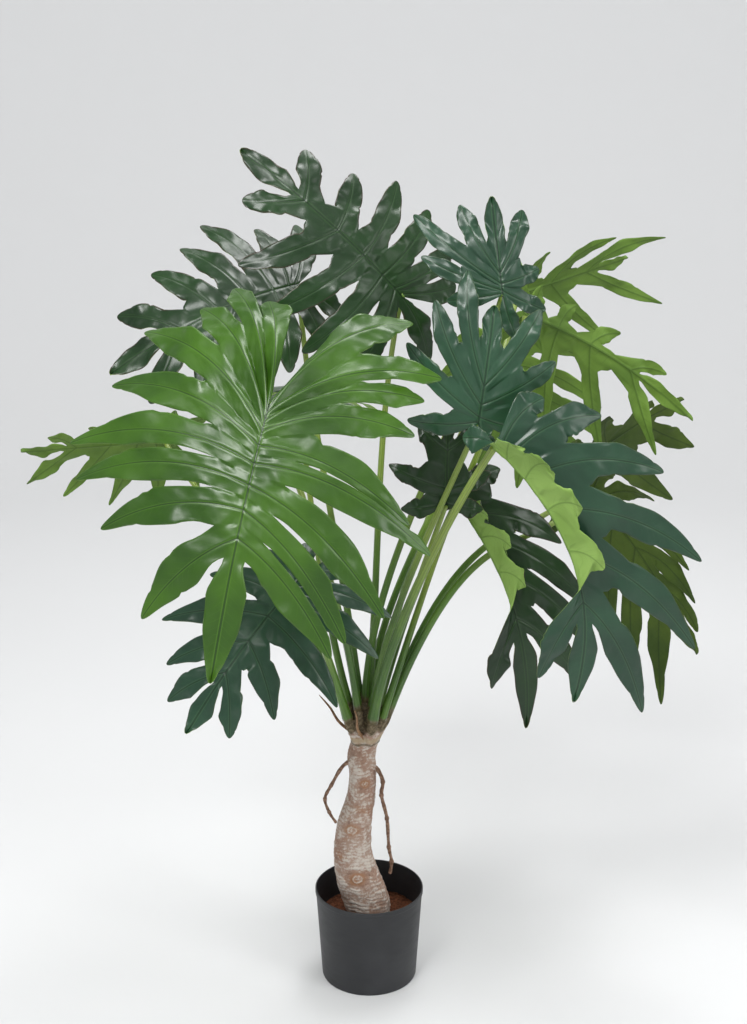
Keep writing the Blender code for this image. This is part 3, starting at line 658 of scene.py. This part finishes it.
def bark_paint():
    """Tan bark with brown patches and knots, a pale wash on what stands out, and painted shade darkening the
    cracks in the hollows of the relief.
    """
    paint = Paint("bark paint", roughness=0.82, specular=0.25)
    tone = BARK_TONES
    relief = paint.field("relief")
    knot = paint.field("knot")
    cloud = paint.noise(24.0, 4.0)
    fine = paint.noise(260.0, 4.0, 0.7)
    patch = paint.noise(36.0, stretch=(1, 1, 1.6))
    color = paint.mix(paint.step(cloud, 0.38, 0.66), tone["dark"], tone["light"])
    color = paint.over(color, paint.step(patch, 0.55, 0.7), 0.45, tone["patch"])
    color = paint.over(color, knot, 0.8, tone["knot"])
    wash = paint.plus(paint.times(relief, 0.7), paint.times(fine, 0.9))
    wash = paint.plus(wash, paint.times(cloud, 0.3))
    wash = paint.math("SUBTRACT", wash, paint.times(knot, 0.1))
    color = paint.over(color, paint.step(wash, 0.86, 1.2), 0.85, tone["wash"])
    # Painted shade: the hollows of the bark's relief darkened as cracks.
    color = paint.over(color, paint.step(relief, 0.4, 0.1), 0.6, tone["crack_shade"])
    color = paint.mix(paint.field("crown"), color, paint.mix(paint.step(fine, 0.42, 0.62), *tone["crown"]))
    color = paint.over(color, paint.field("band"), 0.75, tone["band"])
    color = paint.over(color, paint.field("line"), 0.75, tone["line"])
    color = paint.mix(paint.field("root"), color, paint.mix(paint.step(fine, 0.4, 0.65), *tone["root"]))
    return paint.finish(color, normal=paint.bump(fine, 0.0006, 0.6))


def bract_paint():
    paint = Paint("bract paint", roughness=0.7, specular=0.3)
    streak = paint.noise(300.0, stretch=(1, 1, 0.1))
    color = paint.mix(paint.step(streak, 0.35, 0.7), *BRACT_TONES)
    return paint.finish(color, normal=paint.bump(streak, 0.0004, 0.8))


def pot_paint():
    """Charcoal moulded plastic with a fine grain, uneven gloss and a little dust."""
    paint = Paint("pot paint", specular=0.4)
    cloud = paint.noise(12.0)
    color = paint.mix(paint.step(cloud, 0.35, 0.7), *POT_TONES)
    dust = paint.times(paint.step(paint.spots(260.0), 0.09, 0.03), paint.step(cloud, 0.48, 0.62))
    color = paint.over(color, dust, 0.5, DUST)
    roughness = paint.plus(paint.times(paint.noise(40.0, 4.0, stretch=(1, 1, 4)), 0.22), 0.4)
    return paint.finish(color, roughness, paint.bump(paint.noise(1400.0, 2.0), 0.0001, 0.5))


def fill_paint():
    paint = Paint("fill paint", roughness=0.95, specular=0.15)
    crumb = paint.noise(220.0, 4.0, 0.7)
    color = paint.mix(paint.step(crumb, 0.35, 0.68), *FILL_TONES)
    color = paint.over(color, paint.noise(35.0), 0.5, FILL_CLOUD)
    return paint.finish(color, normal=paint.bump(crumb, 0.002, 0.9))


class Midrib:
    """The curved middle line of a blade, with the blade's own directions along it."""

    def __init__(self, leaf):
        self.hub = np.array(leaf["hub"], float)
        self.length = np.linalg.norm(np.array(leaf["tip"]) - self.hub)
        self.along = unit(np.array(leaf["tip"]) - self.hub)
        face = unit(leaf["face"])
        self.up = unit(face - self.along * (face @ self.along))
        self.left = np.cross(self.up, self.along)
        self.bow = leaf["bow"]
        self.bend = leaf.get("bend", 0.0)

    def point(self, s):
        s = np.asarray(s, float)[..., None]
        sweep = 4 * s * (1 - s)
        return self.hub + self.along * self.length * s + sweep * (self.up * self.bow + self.left * self.bend)

    def directions(self, s):
        """Along, left and up at that share of the midrib."""
        slope = 4 * (1 - 2 * s)
        along = unit(self.along * self.length + slope * (self.up * self.bow + self.left * self.bend))
        up = unit(self.up - along * (self.up @ along))
        return along, np.cross(up, along), up


class Lobe:
    """One lobe's vein, from the midrib to the lobe's tip."""

    def __init__(self, midrib, root, side, leaf, shape, phase):
        along, left, up = midrib.directions(root)
        angle = math.radians(shape[0])
        lift = math.radians(shape[3]) if len(shape) > 3 else 0.0
        outward = math.cos(lift) * side * left + math.sin(lift) * up
        self.root = midrib.point(root)
        self.way = math.cos(angle) * along + math.sin(angle) * outward
        self.tipward = math.sin(angle) * along - math.cos(angle) * outward
        self.up = math.cos(lift) * up - math.sin(lift) * side * left
        self.length = shape[1] / 1000
        self.web = shape[2] if len(shape) > 2 else leaf.get("web", WEB)
        self.fall = DROOP * self.up + leaf.get("sag", SAG) * np.array([0.0, 0.0, 1.0])
        self.half_width = leaf["half_width"]
        self.taper = leaf.get("taper", TAPER)
        self.phase = phase

    def point(self, t):
        t = np.asarray(t, float)[..., None]
        sweep = LOBE_SWEEP * t * (1 - t)
        return self.root + self.length * (t * self.way - sweep * self.tipward - t**2 * self.fall)

    def across(self, t):
        """The direction across the lobe at that share of it, towards the leaf's tip."""
        t = np.asarray(t, float)[..., None]
        along = units(self.way - LOBE_SWEEP * (1 - 2 * t) * self.tipward - 2 * t * self.fall)
        return units(self.tipward - along * (along @ self.tipward)[..., None])


def lobe_roots(leaf):
    """Where the lobes' veins leave the midrib, as shares of its length, closer together at the hub."""
    count = len(leaf["left"])
    spread = leaf.get("spread", SPREAD)
    return np.array([ROOT_START + spread * (i / (count - 1)) ** ROOT_CROWDING for i in range(count)])


def lobe_width(share, phase, taper):
    """The half width of a lobe at a share of its free length, with its waved and nicked edge."""
    swell = LOBE_ROOT + LOBE_SWELL * np.sin(math.pi * share**0.8)
    for height, pace, turn in LOBE_WAVES:
        swell = swell + height * np.sin(pace * share + turn * phase)
    for k in range(NICKS):
        nick = 0.5 + 0.5 * math.sin(5.1 * phase + 2.7 * k)
        swell -= ridge(share - 0.15 - 0.75 * nick, NICK_DEPTH, NICK_WIDTH)
    return swell * (1 - taper * smoothstep((share - 0.4) / 0.6)) * np.sqrt(np.clip(1 - share**4, 0, 1))


def nearest(points, others):
    return np.linalg.norm(points[:, None] - others[None], axis=2).min(1)


def edge_wave(share, phase, toward):
    slow = EDGE_WAVE * np.sin(7 * share + phase + 1.5 * toward)
    return slow + SMALL_WAVE * np.sin(19 * share + 2 * phase + toward)


def lobe_offsets(lobe, t, toward, neighbours, sinus):
    """How far the lobe's free edge lies from its vein at each t: as a vector from the vein."""
    place = lobe.point(t)
    share = (t - lobe.web) / (1 - lobe.web)
    width = np.minimum(lobe.half_width * lobe_width(share, lobe.phase + toward, lobe.taper),
                       LOBE_GAP * nearest(place, neighbours))
    wave = edge_wave(share, lobe.phase, toward) * np.minimum(1, width / lobe.half_width)
    free = toward * width[:, None] * lobe.across(t) + wave[:, None] * lobe.up
    held = sinus - lobe.point(lobe.web)
    blend = smoothstep((t - lobe.web) / SINUS_BLEND)[:, None]
    return held * (1 - blend) + free * blend


def blade_grids(leaf, midrib, side, lobes, others):
    """Grids of points for one side of a blade, each with its vein and its distances to the margin."""
    roots = lobe_roots(leaf)
    breaks = np.concatenate([[0], (roots[:-1] + roots[1:]) / 2, [roots[-1] + END_START]])
    ticks = np.linspace(0, 1, VEIN_SAMPLES)
    samples = [lobe.point(ticks) for lobe in lobes]
    end_vein = midrib.point(breaks[-1] + (1 - breaks[-1]) * ticks)
    beside = [others[0].point(ticks)] + samples + [end_vein]
    first = lobes[0]
    last = lobes[-1]
    corner = first.point(first.web)
    base_width = min(first.half_width * lobe_width(0.0, first.phase - 1, first.taper),
                     LOBE_GAP * nearest(corner[None], beside[0])[0])
    sinuses = [corner - base_width * first.across(first.web)]
    sinuses += [0.5 * (a.point(a.web) + b.point(b.web)) for a, b in zip(lobes, lobes[1:])]
    reach = breaks[-1] + 0.5 * last.web * last.length / midrib.length
    sinuses.append(0.5 * (last.point(last.web) + midrib.point(reach)))
    steps = np.arange(1, FREE_ROWS + 1) / FREE_ROWS
    eased = 1.5 * steps - 0.5 * steps**3
    u = np.concatenate([-ACROSS[:0:-1], ACROSS])
    grids = []
    for i, lobe in enumerate(lobes):
        s = roots[i] + np.where(u < 0, u * (roots[i] - breaks[i]), u * (breaks[i + 1] - roots[i]))
        rib = midrib.point(s)
        free = lobe.web + (1 - lobe.web) * eased
        vein_end = lobe.point(lobe.web)
        sinus_line = np.where(u[:, None] < 0, vein_end - u[:, None] * (sinuses[i] - vein_end),
                              vein_end + u[:, None] * (sinuses[i + 1] - vein_end))
        share = WEB_SHARES[:, None, None]
        straight = lobe.root + (vein_end - lobe.root) * WEB_SHARES[:, None]
        bulge = (lobe.point(lobe.web * WEB_SHARES) - straight)[:, None] * (1 - np.abs(u))[None, :, None]
        web = rib[None] * (1 - share) + sinus_line[None] * share + bulge
        low = lobe_offsets(lobe, free, -1, beside[i], sinuses[i])
        high = lobe_offsets(lobe, free, 1, beside[i + 2], sinuses[i + 1])
        v = u[None, :, None]
        offset = np.where(v < 0, -v * low[:, None], v * high[:, None])
        rows = np.concatenate([web, lobe.point(free)[:, None] + offset])
        rim = np.full(rows.shape[:2], INSIDE)
        widths = np.linalg.norm(offset[:, [0, -1]], axis=2).mean(1)
        rim[len(WEB_SHARES):] = (1 - np.abs(u)) * widths[:, None]
        grids.append((rows, lobe.point(np.linspace(0, 1, LOBE_SAMPLES)), rim))
    start = midrib.point(breaks[-1])
    seam = start + (sinuses[-1] - start) * WEB_SHARES[:, None]
    begin = (sinuses[-1] - midrib.hub) @ midrib.along / midrib.length
    middle = midrib.point(breaks[-1] + (1 - breaks[-1]) * eased)
    place = midrib.point(begin + (1 - begin) * eased)
    width = np.minimum(last.half_width * lobe_width(eased, 1.0, last.taper),
                       LOBE_GAP * nearest(place, samples[-1]))
    free_edge = side * width[:, None] * midrib.left + edge_wave(eased, 1.0, 0)[:, None] * midrib.up
    blend = smoothstep(eased / SINUS_BLEND)[:, None]
    edge = place + free_edge * blend + (sinuses[-1] - midrib.point(begin)) * (1 - blend)
    edge[-1] = place[-1]
    rows = middle[:, None] + (edge - middle)[:, None] * WEB_SHARES[None, :, None]
    rows = np.concatenate([seam[None], rows])
    rim = (1 - WEB_SHARES)[None] * width[:, None]
    rim = np.concatenate([np.full((1, len(WEB_SHARES)), INSIDE), rim])
    grids.append((rows, midrib.point(np.linspace(0, 1, SPINE_SAMPLES)), rim))
    return grids


def lobes_of(leaf, midrib, side, key):
    roots = lobe_roots(leaf)
    return [Lobe(midrib, root, side, leaf, shape, phase=2.4 * i + side)
            for i, (root, shape) in enumerate(zip(roots, leaf[key]))]


def pucker(vein, along, phase):
    """Soft pleats beside the vein, between its side veins, on longer waves."""
    pleat = PLEAT[0] * np.sin(2 * math.pi * (along - PLEAT_LEAN * vein) / PLEAT[1] + phase)
    swell = SWELL[0] * np.sin(2 * math.pi * along / SWELL[1] + 2 * phase)
    return (pleat + swell) * smoothstep(vein / 0.012)


def make_blade(name, leaf, number, paints):
    """The blade as a closed sheet: grooved and pleated above, ribbed below, with waved nicked edges."""
    midrib = Midrib(leaf)
    left = lobes_of(leaf, midrib, 1, "left")
    right = lobes_of(leaf, midrib, -1, "right")
    grids = []
    faces = []
    total = 0
    spine = midrib.point(np.linspace(0, 1, SPINE_SAMPLES))
    for side, lobes, others in ((1, left, right), (-1, right, left)):
        for i, (rows, vein_path, rim) in enumerate(blade_grids(leaf, midrib, side, lobes, others)):
            height, width = rows.shape[:2]
            flat = rows.reshape(-1, 3)
            vein, along = beside_path(flat, vein_path)
            to_spine, on_spine = beside_path(flat, spine)
            length = np.linalg.norm(np.diff(vein_path, axis=0), axis=1).sum()
            taper = np.clip(1 - along / length, 0.15, 1)
            spine_taper = np.clip(1 - on_spine / midrib.length, 0.2, 1)
            cut, rib = [np.maximum(ridge(vein, own[0] * taper, own[1]),
                                   ridge(to_spine, main[0] * spine_taper, main[1]))
                        for own, main in ((VEIN_GROOVE, MIDRIB_GROOVE), (VEIN_RIB, MIDRIB_RIB))]
            shoulder = ridge(vein - SHOULDER_PLACE, VEIN_SHOULDER[0] * taper, VEIN_SHOULDER[1])
            lift = pucker(vein, along, 1.7 * i + number) * smoothstep(to_spine / 0.01)
            vein = np.minimum(vein, to_spine * MIDRIB_SCALE)
            grids.append((flat, vein, along, rim.ravel(), shoulder - cut + lift, rib - lift))
            index = np.arange(height * width).reshape(height, width) + total
            a, b, c, d = index[:-1, :-1], index[:-1, 1:], index[1:, 1:], index[1:, :-1]
            quads = np.stack([a, b, c, d], -1).reshape(-1, 4)
            faces.append(quads if side * (1 if i < len(lobes) else -1) > 0 else quads[:, ::-1])
            total += height * width
    columns = [np.concatenate(column) for column in zip(*grids)]
    _, keep, merged = np.unique(np.round(columns[0], 6), axis=0, return_index=True, return_inverse=True)
    points, vein, along, rim, top, bottom = [column[keep] for column in columns]
    quads = merged.ravel()[np.concatenate(faces)]
    triangles = np.concatenate([quads[:, [0, 1, 2]], quads[:, [0, 2, 3]]])
    sides = np.sort(triangles, axis=1)
    triangles = triangles[(sides[:, 0] != sides[:, 1]) & (sides[:, 1] != sides[:, 2])]
    normals = np.zeros_like(points)
    a, b, c = points[triangles.T]
    cross = np.cross(b - a, c - a)
    for k in range(3):
        np.add.at(normals, triangles[:, k], cross)
    normals = units(normals)
    inside = smoothstep(rim / MARGIN)
    half = 0.5 * BLADE_THICKNESS * (MARGIN_THICKNESS + (1 - MARGIN_THICKNESS) * inside)
    upper = points + normals * (half + top * inside)[:, None]
    lower = points - normals * (half + bottom * inside)[:, None]
    count = len(points)
    edges = np.concatenate([triangles[:, [0, 1]], triangles[:, [1, 2]], triangles[:, [2, 0]]])
    keys = edges[:, 0] * count + edges[:, 1]
    border = edges[~np.isin(keys, edges[:, 1] * count + edges[:, 0])]
    under = triangles[:, ::-1] + count
    rim_faces = np.stack([border[:, 1], border[:, 0], border[:, 0] + count, border[:, 1] + count], -1)
    all_faces = triangles.tolist() + under.tolist() + rim_faces.tolist()
    kinds = [0] * len(triangles) + [1] * (len(under) + len(rim_faces))
    blade = new_object("leaf_" + name, np.concatenate([upper, lower]), all_faces, paints, kinds,
                       vein=np.tile(vein, 2), along=np.tile(along, 2), rim=np.tile(rim, 2))
    return placed(blade, "blade", "blade_" + name)


def outward_at(azimuth):
    return np.array([math.cos(azimuth), math.sin(azimuth), 0.0])


def socket_of(leaf):
    """Where a stalk starts on the crown, and the way it leaves."""
    ring, azimuth = leaf["socket"]
    distance, height, lean = SOCKET_RINGS[ring]
    lean = math.radians(lean)
    outward = outward_at(math.radians(azimuth))
    place = np.array([*CROWN, height]) + outward * distance
    return place, outward * math.sin(lean) + np.array([0.0, 0.0, math.cos(lean)])


def make_stalk(name, leaf, paint):
    """A smooth ridged stalk that swells a little at its socket and under the hub of its blade."""
    midrib = Midrib(leaf)
    start, leaving = socket_of(leaf)
    start = start + leaving * CLEARANCE
    along, _, up = midrib.directions(0.0)
    reach = np.linalg.norm(midrib.hub - start)
    arriving = unit(unit(midrib.hub - start) + 0.5 * up + 0.1 * along)
    thick = leaf.get("stalk", 1.0)
    tip_radius = STALK_TIP_RADIUS * thick
    tilt = math.sqrt(1 - (arriving @ up) ** 2)
    clearance = leaf.get("clearance", HUB_CLEARANCE)
    end = midrib.hub - up * (0.5 * BLADE_THICKNESS + clearance + tip_radius * tilt)
    rise = leaf.get("rise", STALK_RISE) * reach
    path = bezier(start, start + rise * leaving, end - STALK_ARRIVAL * reach * arriving, end, STALK_SECTIONS)
    share = np.linspace(0, 1, STALK_SECTIONS)
    radii = (STALK_BASE_RADIUS + (STALK_TIP_RADIUS - STALK_BASE_RADIUS) * share) * thick
    radii *= 1 + ridge(share, *STALK_FOOT) + ridge(share - 1, *STALK_HEAD)
    verts, faces, turns = tube_mesh(path, radii, STALK_SIDES, ways=(leaving, arriving),
                                    ripple=STALK_RIPPLE, ripples=STALK_RIPPLES)
    stalk = new_object("petiole_" + name, verts, faces, [paint], turn=turns,
                       share=np.repeat(share, STALK_SIDES))
    return placed(stalk, "stalk", "stalk_" + name)


def turned_mesh(profile, steps, closed=True):
    """Vertices and faces of a profile of (radius, height) turned round Z.

    It starts on the axis, and if it is closed it ends there too."""
    verts = [(0, 0, profile[0][1])]
    if closed:
        verts.append((0, 0, profile[-1][1]))
    rings = []
    for radius, height in profile[1:-1] if closed else profile[1:]:
        rings.append(range(len(verts), len(verts) + steps))
        for k in range(steps):
            angle = 2 * math.pi * k / steps
            verts.append((radius * math.cos(angle), radius * math.sin(angle), height))
    faces = []
    for k in range(steps):
        following = (k + 1) % steps
        faces.append((0, rings[0][following], rings[0][k]))
        if closed:
            faces.append((1, rings[-1][k], rings[-1][following]))
        for lower, upper in zip(rings, rings[1:]):
            faces.append((lower[k], lower[following], upper[following], upper[k]))
    return verts, faces


def make_pot():
    """The thin-walled pot, with a foot ring and a rolled lip."""
    inner_rim = POT_RIM_RADIUS - POT_WALL
    inner_base = POT_BASE_RADIUS - POT_WALL
    half = POT_WALL / 2
    profile = [(0, POT_FOOT[0][1])] + [(POT_BASE_RADIUS - inward, height) for inward, height in POT_FOOT]
    for share in np.linspace(0.05, 1, 18):
        height = POT_WALL_START + (POT_HEIGHT - POT_WALL_END) * share
        radius = POT_BASE_RADIUS + (POT_RIM_RADIUS - POT_LIP_STEP - POT_BASE_RADIUS) * share
        profile.append((radius, height))
    profile += [(POT_RIM_RADIUS - inward, POT_HEIGHT - down) for inward, down in POT_LIP]
    for angle in np.linspace(0, math.pi, 9):
        profile.append((POT_RIM_RADIUS - half + half * math.cos(angle),
                        POT_HEIGHT - half + half * math.sin(angle)))
    for share in np.linspace(0, 1, 14)[1:]:
        height = POT_HEIGHT - half + (POT_FLOOR - POT_HEIGHT + half) * share
        profile.append((inner_rim + (inner_base - inner_rim) * share, height))
    profile.append((0, POT_FLOOR))
    verts, faces = turned_mesh(profile, POT_STEPS)
    pot = new_object("nursery_pot", verts, faces, [pot_paint()])
    pot.data.set_sharp_from_angle(angle=math.radians(50))
    return placed(pot, "pot", "pot")


def make_fill():
    """The crumbly filling, with lumps over its top and a plain hole for the trunk's foot."""
    floor = POT_FLOOR + CLEARANCE

    def wall(height):
        share = (height - POT_FLOOR) / (POT_HEIGHT - POT_FLOOR)
        return POT_BASE_RADIUS - POT_WALL + share * (POT_RIM_RADIUS - POT_BASE_RADIUS) - CLEARANCE

    profile = [(0, floor), (wall(floor), floor)]
    profile += [(wall(h), h) for h in np.linspace(floor, FILL_TOP - FILL_BEVEL, 6)[1:]]
    outer = wall(FILL_TOP)
    for share in np.linspace(0, 1, 44):
        profile.append((outer + (FILL_HOLE - outer) * share, FILL_TOP))
    profile += [(FILL_HOLE, FILL_HOLE_FLOOR), (0, FILL_HOLE_FLOOR)]
    verts, faces = turned_mesh(profile, FILL_STEPS)
    for i, (x, y, z) in enumerate(verts):
        if z == FILL_TOP:
            lump = noise.fractal(Vector((x, y, 0)) * 160, 0.8, 2.2, 4)
            mound = noise.noise(Vector((x, y, 3)) * 28)
            verts[i] = (x, y, z + FILL_LUMP * lump + FILL_MOUND * mound)
    fill = new_object("filling", verts, faces, [fill_paint()])
    return placed(fill, "fill", "fill")


def add_tube(shape, path, radii, sides, ways=None):
    verts, faces, _ = tube_mesh(path, radii, sides, ways=ways)
    made = [shape.verts.new(v) for v in verts]
    for face in faces:
        shape.faces.new([made[i] for i in face])


def trunk_body():
    """Stem, sockets and jointed roots in one fine closed surface."""
    shape = bmesh.new()
    stations = smooth_path(TRUNK_STATIONS, TRUNK_SECTIONS)
    add_tube(shape, [(x, 0, z) for x, z, _ in stations], [r for _, _, r in stations], TRUNK_SIDES)
    for leaf in LEAVES.values():
        place, way = socket_of(leaf)
        foot = np.array([*CROWN, CROWN_FOOT]) + SOCKET_SPREAD * (place - np.array([*CROWN, place[2]]))
        path = [foot, 0.5 * (foot + place), place - SOCKET_STRAIGHT * way, place]
        path = smooth_path(path, SOCKET_SECTIONS)
        radii = np.linspace(1.0, 0.92, SOCKET_SECTIONS) * SOCKET_RADIUS * math.sqrt(leaf.get("stalk", 1.0))
        add_tube(shape, path, radii, SOCKET_SIDES, ways=(unit(path[1] - path[0]), way))
    for points, radius, ends in ((LEFT_ROOT, LEFT_ROOT_RADIUS, (1.1, 0.8)),
                                 (RIGHT_ROOT, RIGHT_ROOT_RADIUS, (1.0, 0.8))):
        section = np.arange(ROOT_SECTIONS)
        radii = np.linspace(*ends, ROOT_SECTIONS) * radius
        radii *= 1 + 0.10 * np.sin(section * 0.9) + 0.7 * np.exp(-section / 5.0)
        add_tube(shape, smooth_path(points, ROOT_SECTIONS), radii, ROOT_SIDES)
        for joint in points[2:-1]:
            bmesh.ops.create_icosphere(shape, subdivisions=2, radius=radius * ROOT_JOINT,
                                       matrix=Matrix.Translation(joint))
    mesh = bpy.data.meshes.new("trunk body")
    shape.to_mesh(mesh)
    shape.free()
    body = linked("trunk body", mesh)
    remesh = body.modifiers.new("Remesh", "REMESH")
    remesh.mode = "VOXEL"
    remesh.voxel_size = BARK_VOXEL
    soften = body.modifiers.new("Soften", "SMOOTH")
    soften.iterations = 3
    graph = bpy.context.evaluated_depsgraph_get()
    fine = bpy.data.meshes.new_from_object(body.evaluated_get(graph))
    bpy.data.objects.remove(body)
    return fine


def bark(place, axis_x):
    """Relief of the bark in metres: broken, slanting wrinkles round the trunk, cracks and crumbs."""
    x, y, z = place
    angle = math.atan2(y, x - axis_x)
    around = Vector((math.cos(angle), math.sin(angle), 0))
    slow = noise.noise(around * 0.9 + Vector((0, 0, z * 22)))
    quick = noise.noise(around * 2.6 + Vector((4, 0, z * 60)))
    slant = 0.005 * math.sin(angle + 0.5) * smoothstep((0.24 - z) / 0.08)
    phase = math.pi * (z + slant) / WRINKLE_SPACING + 3.2 * slow + 1.3 * quick
    breaks = noise.noise(around * 3.5 + Vector((0, 7, z * 110)))
    wrinkle = abs(math.sin(phase)) ** 0.6 * (0.65 + 1.1 * breaks)
    fine = abs(noise.noise(around * 5.0 + Vector((0, 0, z * 420))))
    lump = noise.noise(Vector(place) * 45)
    crumb = noise.fractal(Vector(place) * 520, 0.8, 2.1, 3)
    return LUMP * lump + WRINKLE * (wrinkle - 0.5) + CRACK * (fine - 0.2) + CRUMB * crumb


def knot_relief(place):
    """The raised ring and middle of each knot, and how near the place is to one."""
    relief = 0.0
    near = 0.0
    x, y, z = place
    if y > 0:
        return relief, near
    for kx, kz, radius in KNOTS:
        distance = math.hypot(x - kx, (z - kz) * 1.25) / (0.62 * radius)
        if distance < 3:
            near = max(near, ridge(distance - 1.2, 1.0, 0.9))
            relief += ridge(distance - 1.0, KNOT_RING, 0.28) + ridge(distance, KNOT_MIDDLE, 0.45) - KNOT_DISH
    return relief, near


def make_trunk():
    """The trunk's body with the relief of its bark, and the fields that its paint reads."""
    mesh = trunk_body()
    stations = smooth_path(TRUNK_STATIONS, TRUNK_SECTIONS)
    count = len(mesh.vertices)
    places = np.zeros((count, 3))
    normals = np.zeros((count, 3))
    mesh.vertices.foreach_get("co", places.ravel())
    mesh.vertex_normals.foreach_get("vector", normals.ravel())
    x, y, z = places.T
    axis = np.interp(z, stations[:, 1], stations[:, 0])
    radius = np.interp(z, stations[:, 1], stations[:, 2])
    out = np.hypot(x - axis, y)
    height = z + 0.0015 * np.sin(x * 260)
    band = np.exp(-(((height - BAND[0]) / BAND[1]) ** 4))
    line = ridge(height - LINE[0], 1.0, LINE[1])
    on_root = smoothstep((out - radius - 0.0022) / 0.002) * (z < ROOT_TOP)
    on_crown = smoothstep((z - CROWN_START + 0.003 * np.sin(x * 400)) / 0.008)
    relief = np.zeros(count)
    near = np.zeros(count)
    for i, place in enumerate(places):
        ring = bark(place, axis[i])
        raised, close = knot_relief(place)
        calm = 1 - 0.80 * max(on_root[i], on_crown[i], band[i])
        relief[i] = (ring * (1 - close) + raised) * calm
        near[i] = close * (1 - on_root[i])
    places = places + normals * relief[:, None]
    mesh.vertices.foreach_set("co", places.ravel())
    shown = np.clip(0.55 + relief / RELIEF_RANGE, 0, 1)
    add_fields(mesh, dict(relief=shown, knot=near * 0.9, root=on_root, crown=on_crown, band=band, line=line))
    mesh.materials.clear()
    mesh.materials.append(bark_paint())
    mesh.shade_smooth()
    return placed(linked("bark_trunk", mesh), "trunk", "trunk")


def make_bract(number, azimuth, paint):
    """A thin dry curled sheath that stands out from the crown's side."""
    outward = outward_at(math.radians(azimuth))
    side = np.array([-outward[1], outward[0], 0.0])
    start = np.array([*CROWN, BRACT_FOOT])
    places = [start + outward * r + np.array([0, 0, z * BRACT_LENGTH]) for r, z in BRACT_COURSE]
    path = smooth_path(places, BRACT_SECTIONS)
    wave = np.sin(np.linspace(0, 7, BRACT_SECTIONS) + number)[:, None] * side * 0.0012
    radii = np.interp(np.linspace(0, 1, BRACT_SECTIONS), *zip(*BRACT_RADII))
    verts, faces, _ = tube_mesh(path + wave, radii, 14, squash=0.4, ripple=0.10, ripples=4)
    return placed(new_object(f"bract_{number}", verts, faces, [paint]), "trunk")


def make_stage():
    """A round pale floor that sweeps up into a wall, far outside every view."""
    profile = [(0, 0)]
    for turn in np.linspace(0, math.pi / 2, 24):
        radius = STAGE_RADIUS - STAGE_SWEEP * (1 - math.sin(turn))
        profile.append((radius, STAGE_SWEEP * (1 - math.cos(turn))))
    profile.append((STAGE_RADIUS, STAGE_HEIGHT))
    verts, faces = turned_mesh(profile, STAGE_SIDES, closed=False)
    paint = Paint("stage paint", roughness=0.9, specular=0.1)
    stage = new_object("stage", verts, faces, [paint.finish(STAGE_COLOR)])


def add_light(name, place, target, size, power):
    light = bpy.data.lights.new(name, "AREA")
    light.shape = "RECTANGLE"
    light.size, light.size_y = size
    light.energy = power
    obj = linked(name, light)
    obj.location = place
    obj.rotation_euler = (Vector(target) - Vector(place)).to_track_quat("-Z", "Y").to_euler()


def make_lights():
    world = bpy.context.scene.world or bpy.data.worlds.new("World")
    bpy.context.scene.world = world
    world.use_nodes = True
    back = world.node_tree.nodes["Background"]
    back.inputs["Color"].default_value = (1, 1, 1, 1)
    back.inputs["Strength"].default_value = SKY_STRENGTH
    for light in LIGHTS:
        add_light(*light)


def make_camera():
    data = bpy.data.cameras.new("camera")
    data.sensor_fit = "VERTICAL"
    data.sensor_height = SENSOR_HEIGHT
    data.lens = CAMERA_LENS
    camera = linked("camera", data)
    camera.location = CAMERA_PLACE
    camera.rotation_euler = (math.radians(90 - CAMERA_TILT), 0, 0)
    bpy.context.scene.camera = camera


make_camera()
make_stage()
make_lights()
bpy.context.scene.view_settings.view_transform = "Standard"
make_pot()
make_fill()
make_trunk()
dry = bract_paint()
for number, azimuth in enumerate(BRACT_AZIMUTHS):
    make_bract(number + 1, azimuth, dry)
stalk_finish = stalk_paint()
uppers = {kind: upper_paint("blade paint " + kind, *tones) for kind, tones in GREENS.items()}
unders = {kind: under_paint("blade underside " + kind, *tones) for kind, tones in UNDERS.items()}
for number, (name, leaf) in enumerate(LEAVES.items()):
    make_stalk(name, leaf, stalk_finish)
    paints = (uppers[GREEN_OF.get(name, "usual")], unders[UNDER_OF.get(name, "usual")])
    make_blade(name, leaf, number, paints)
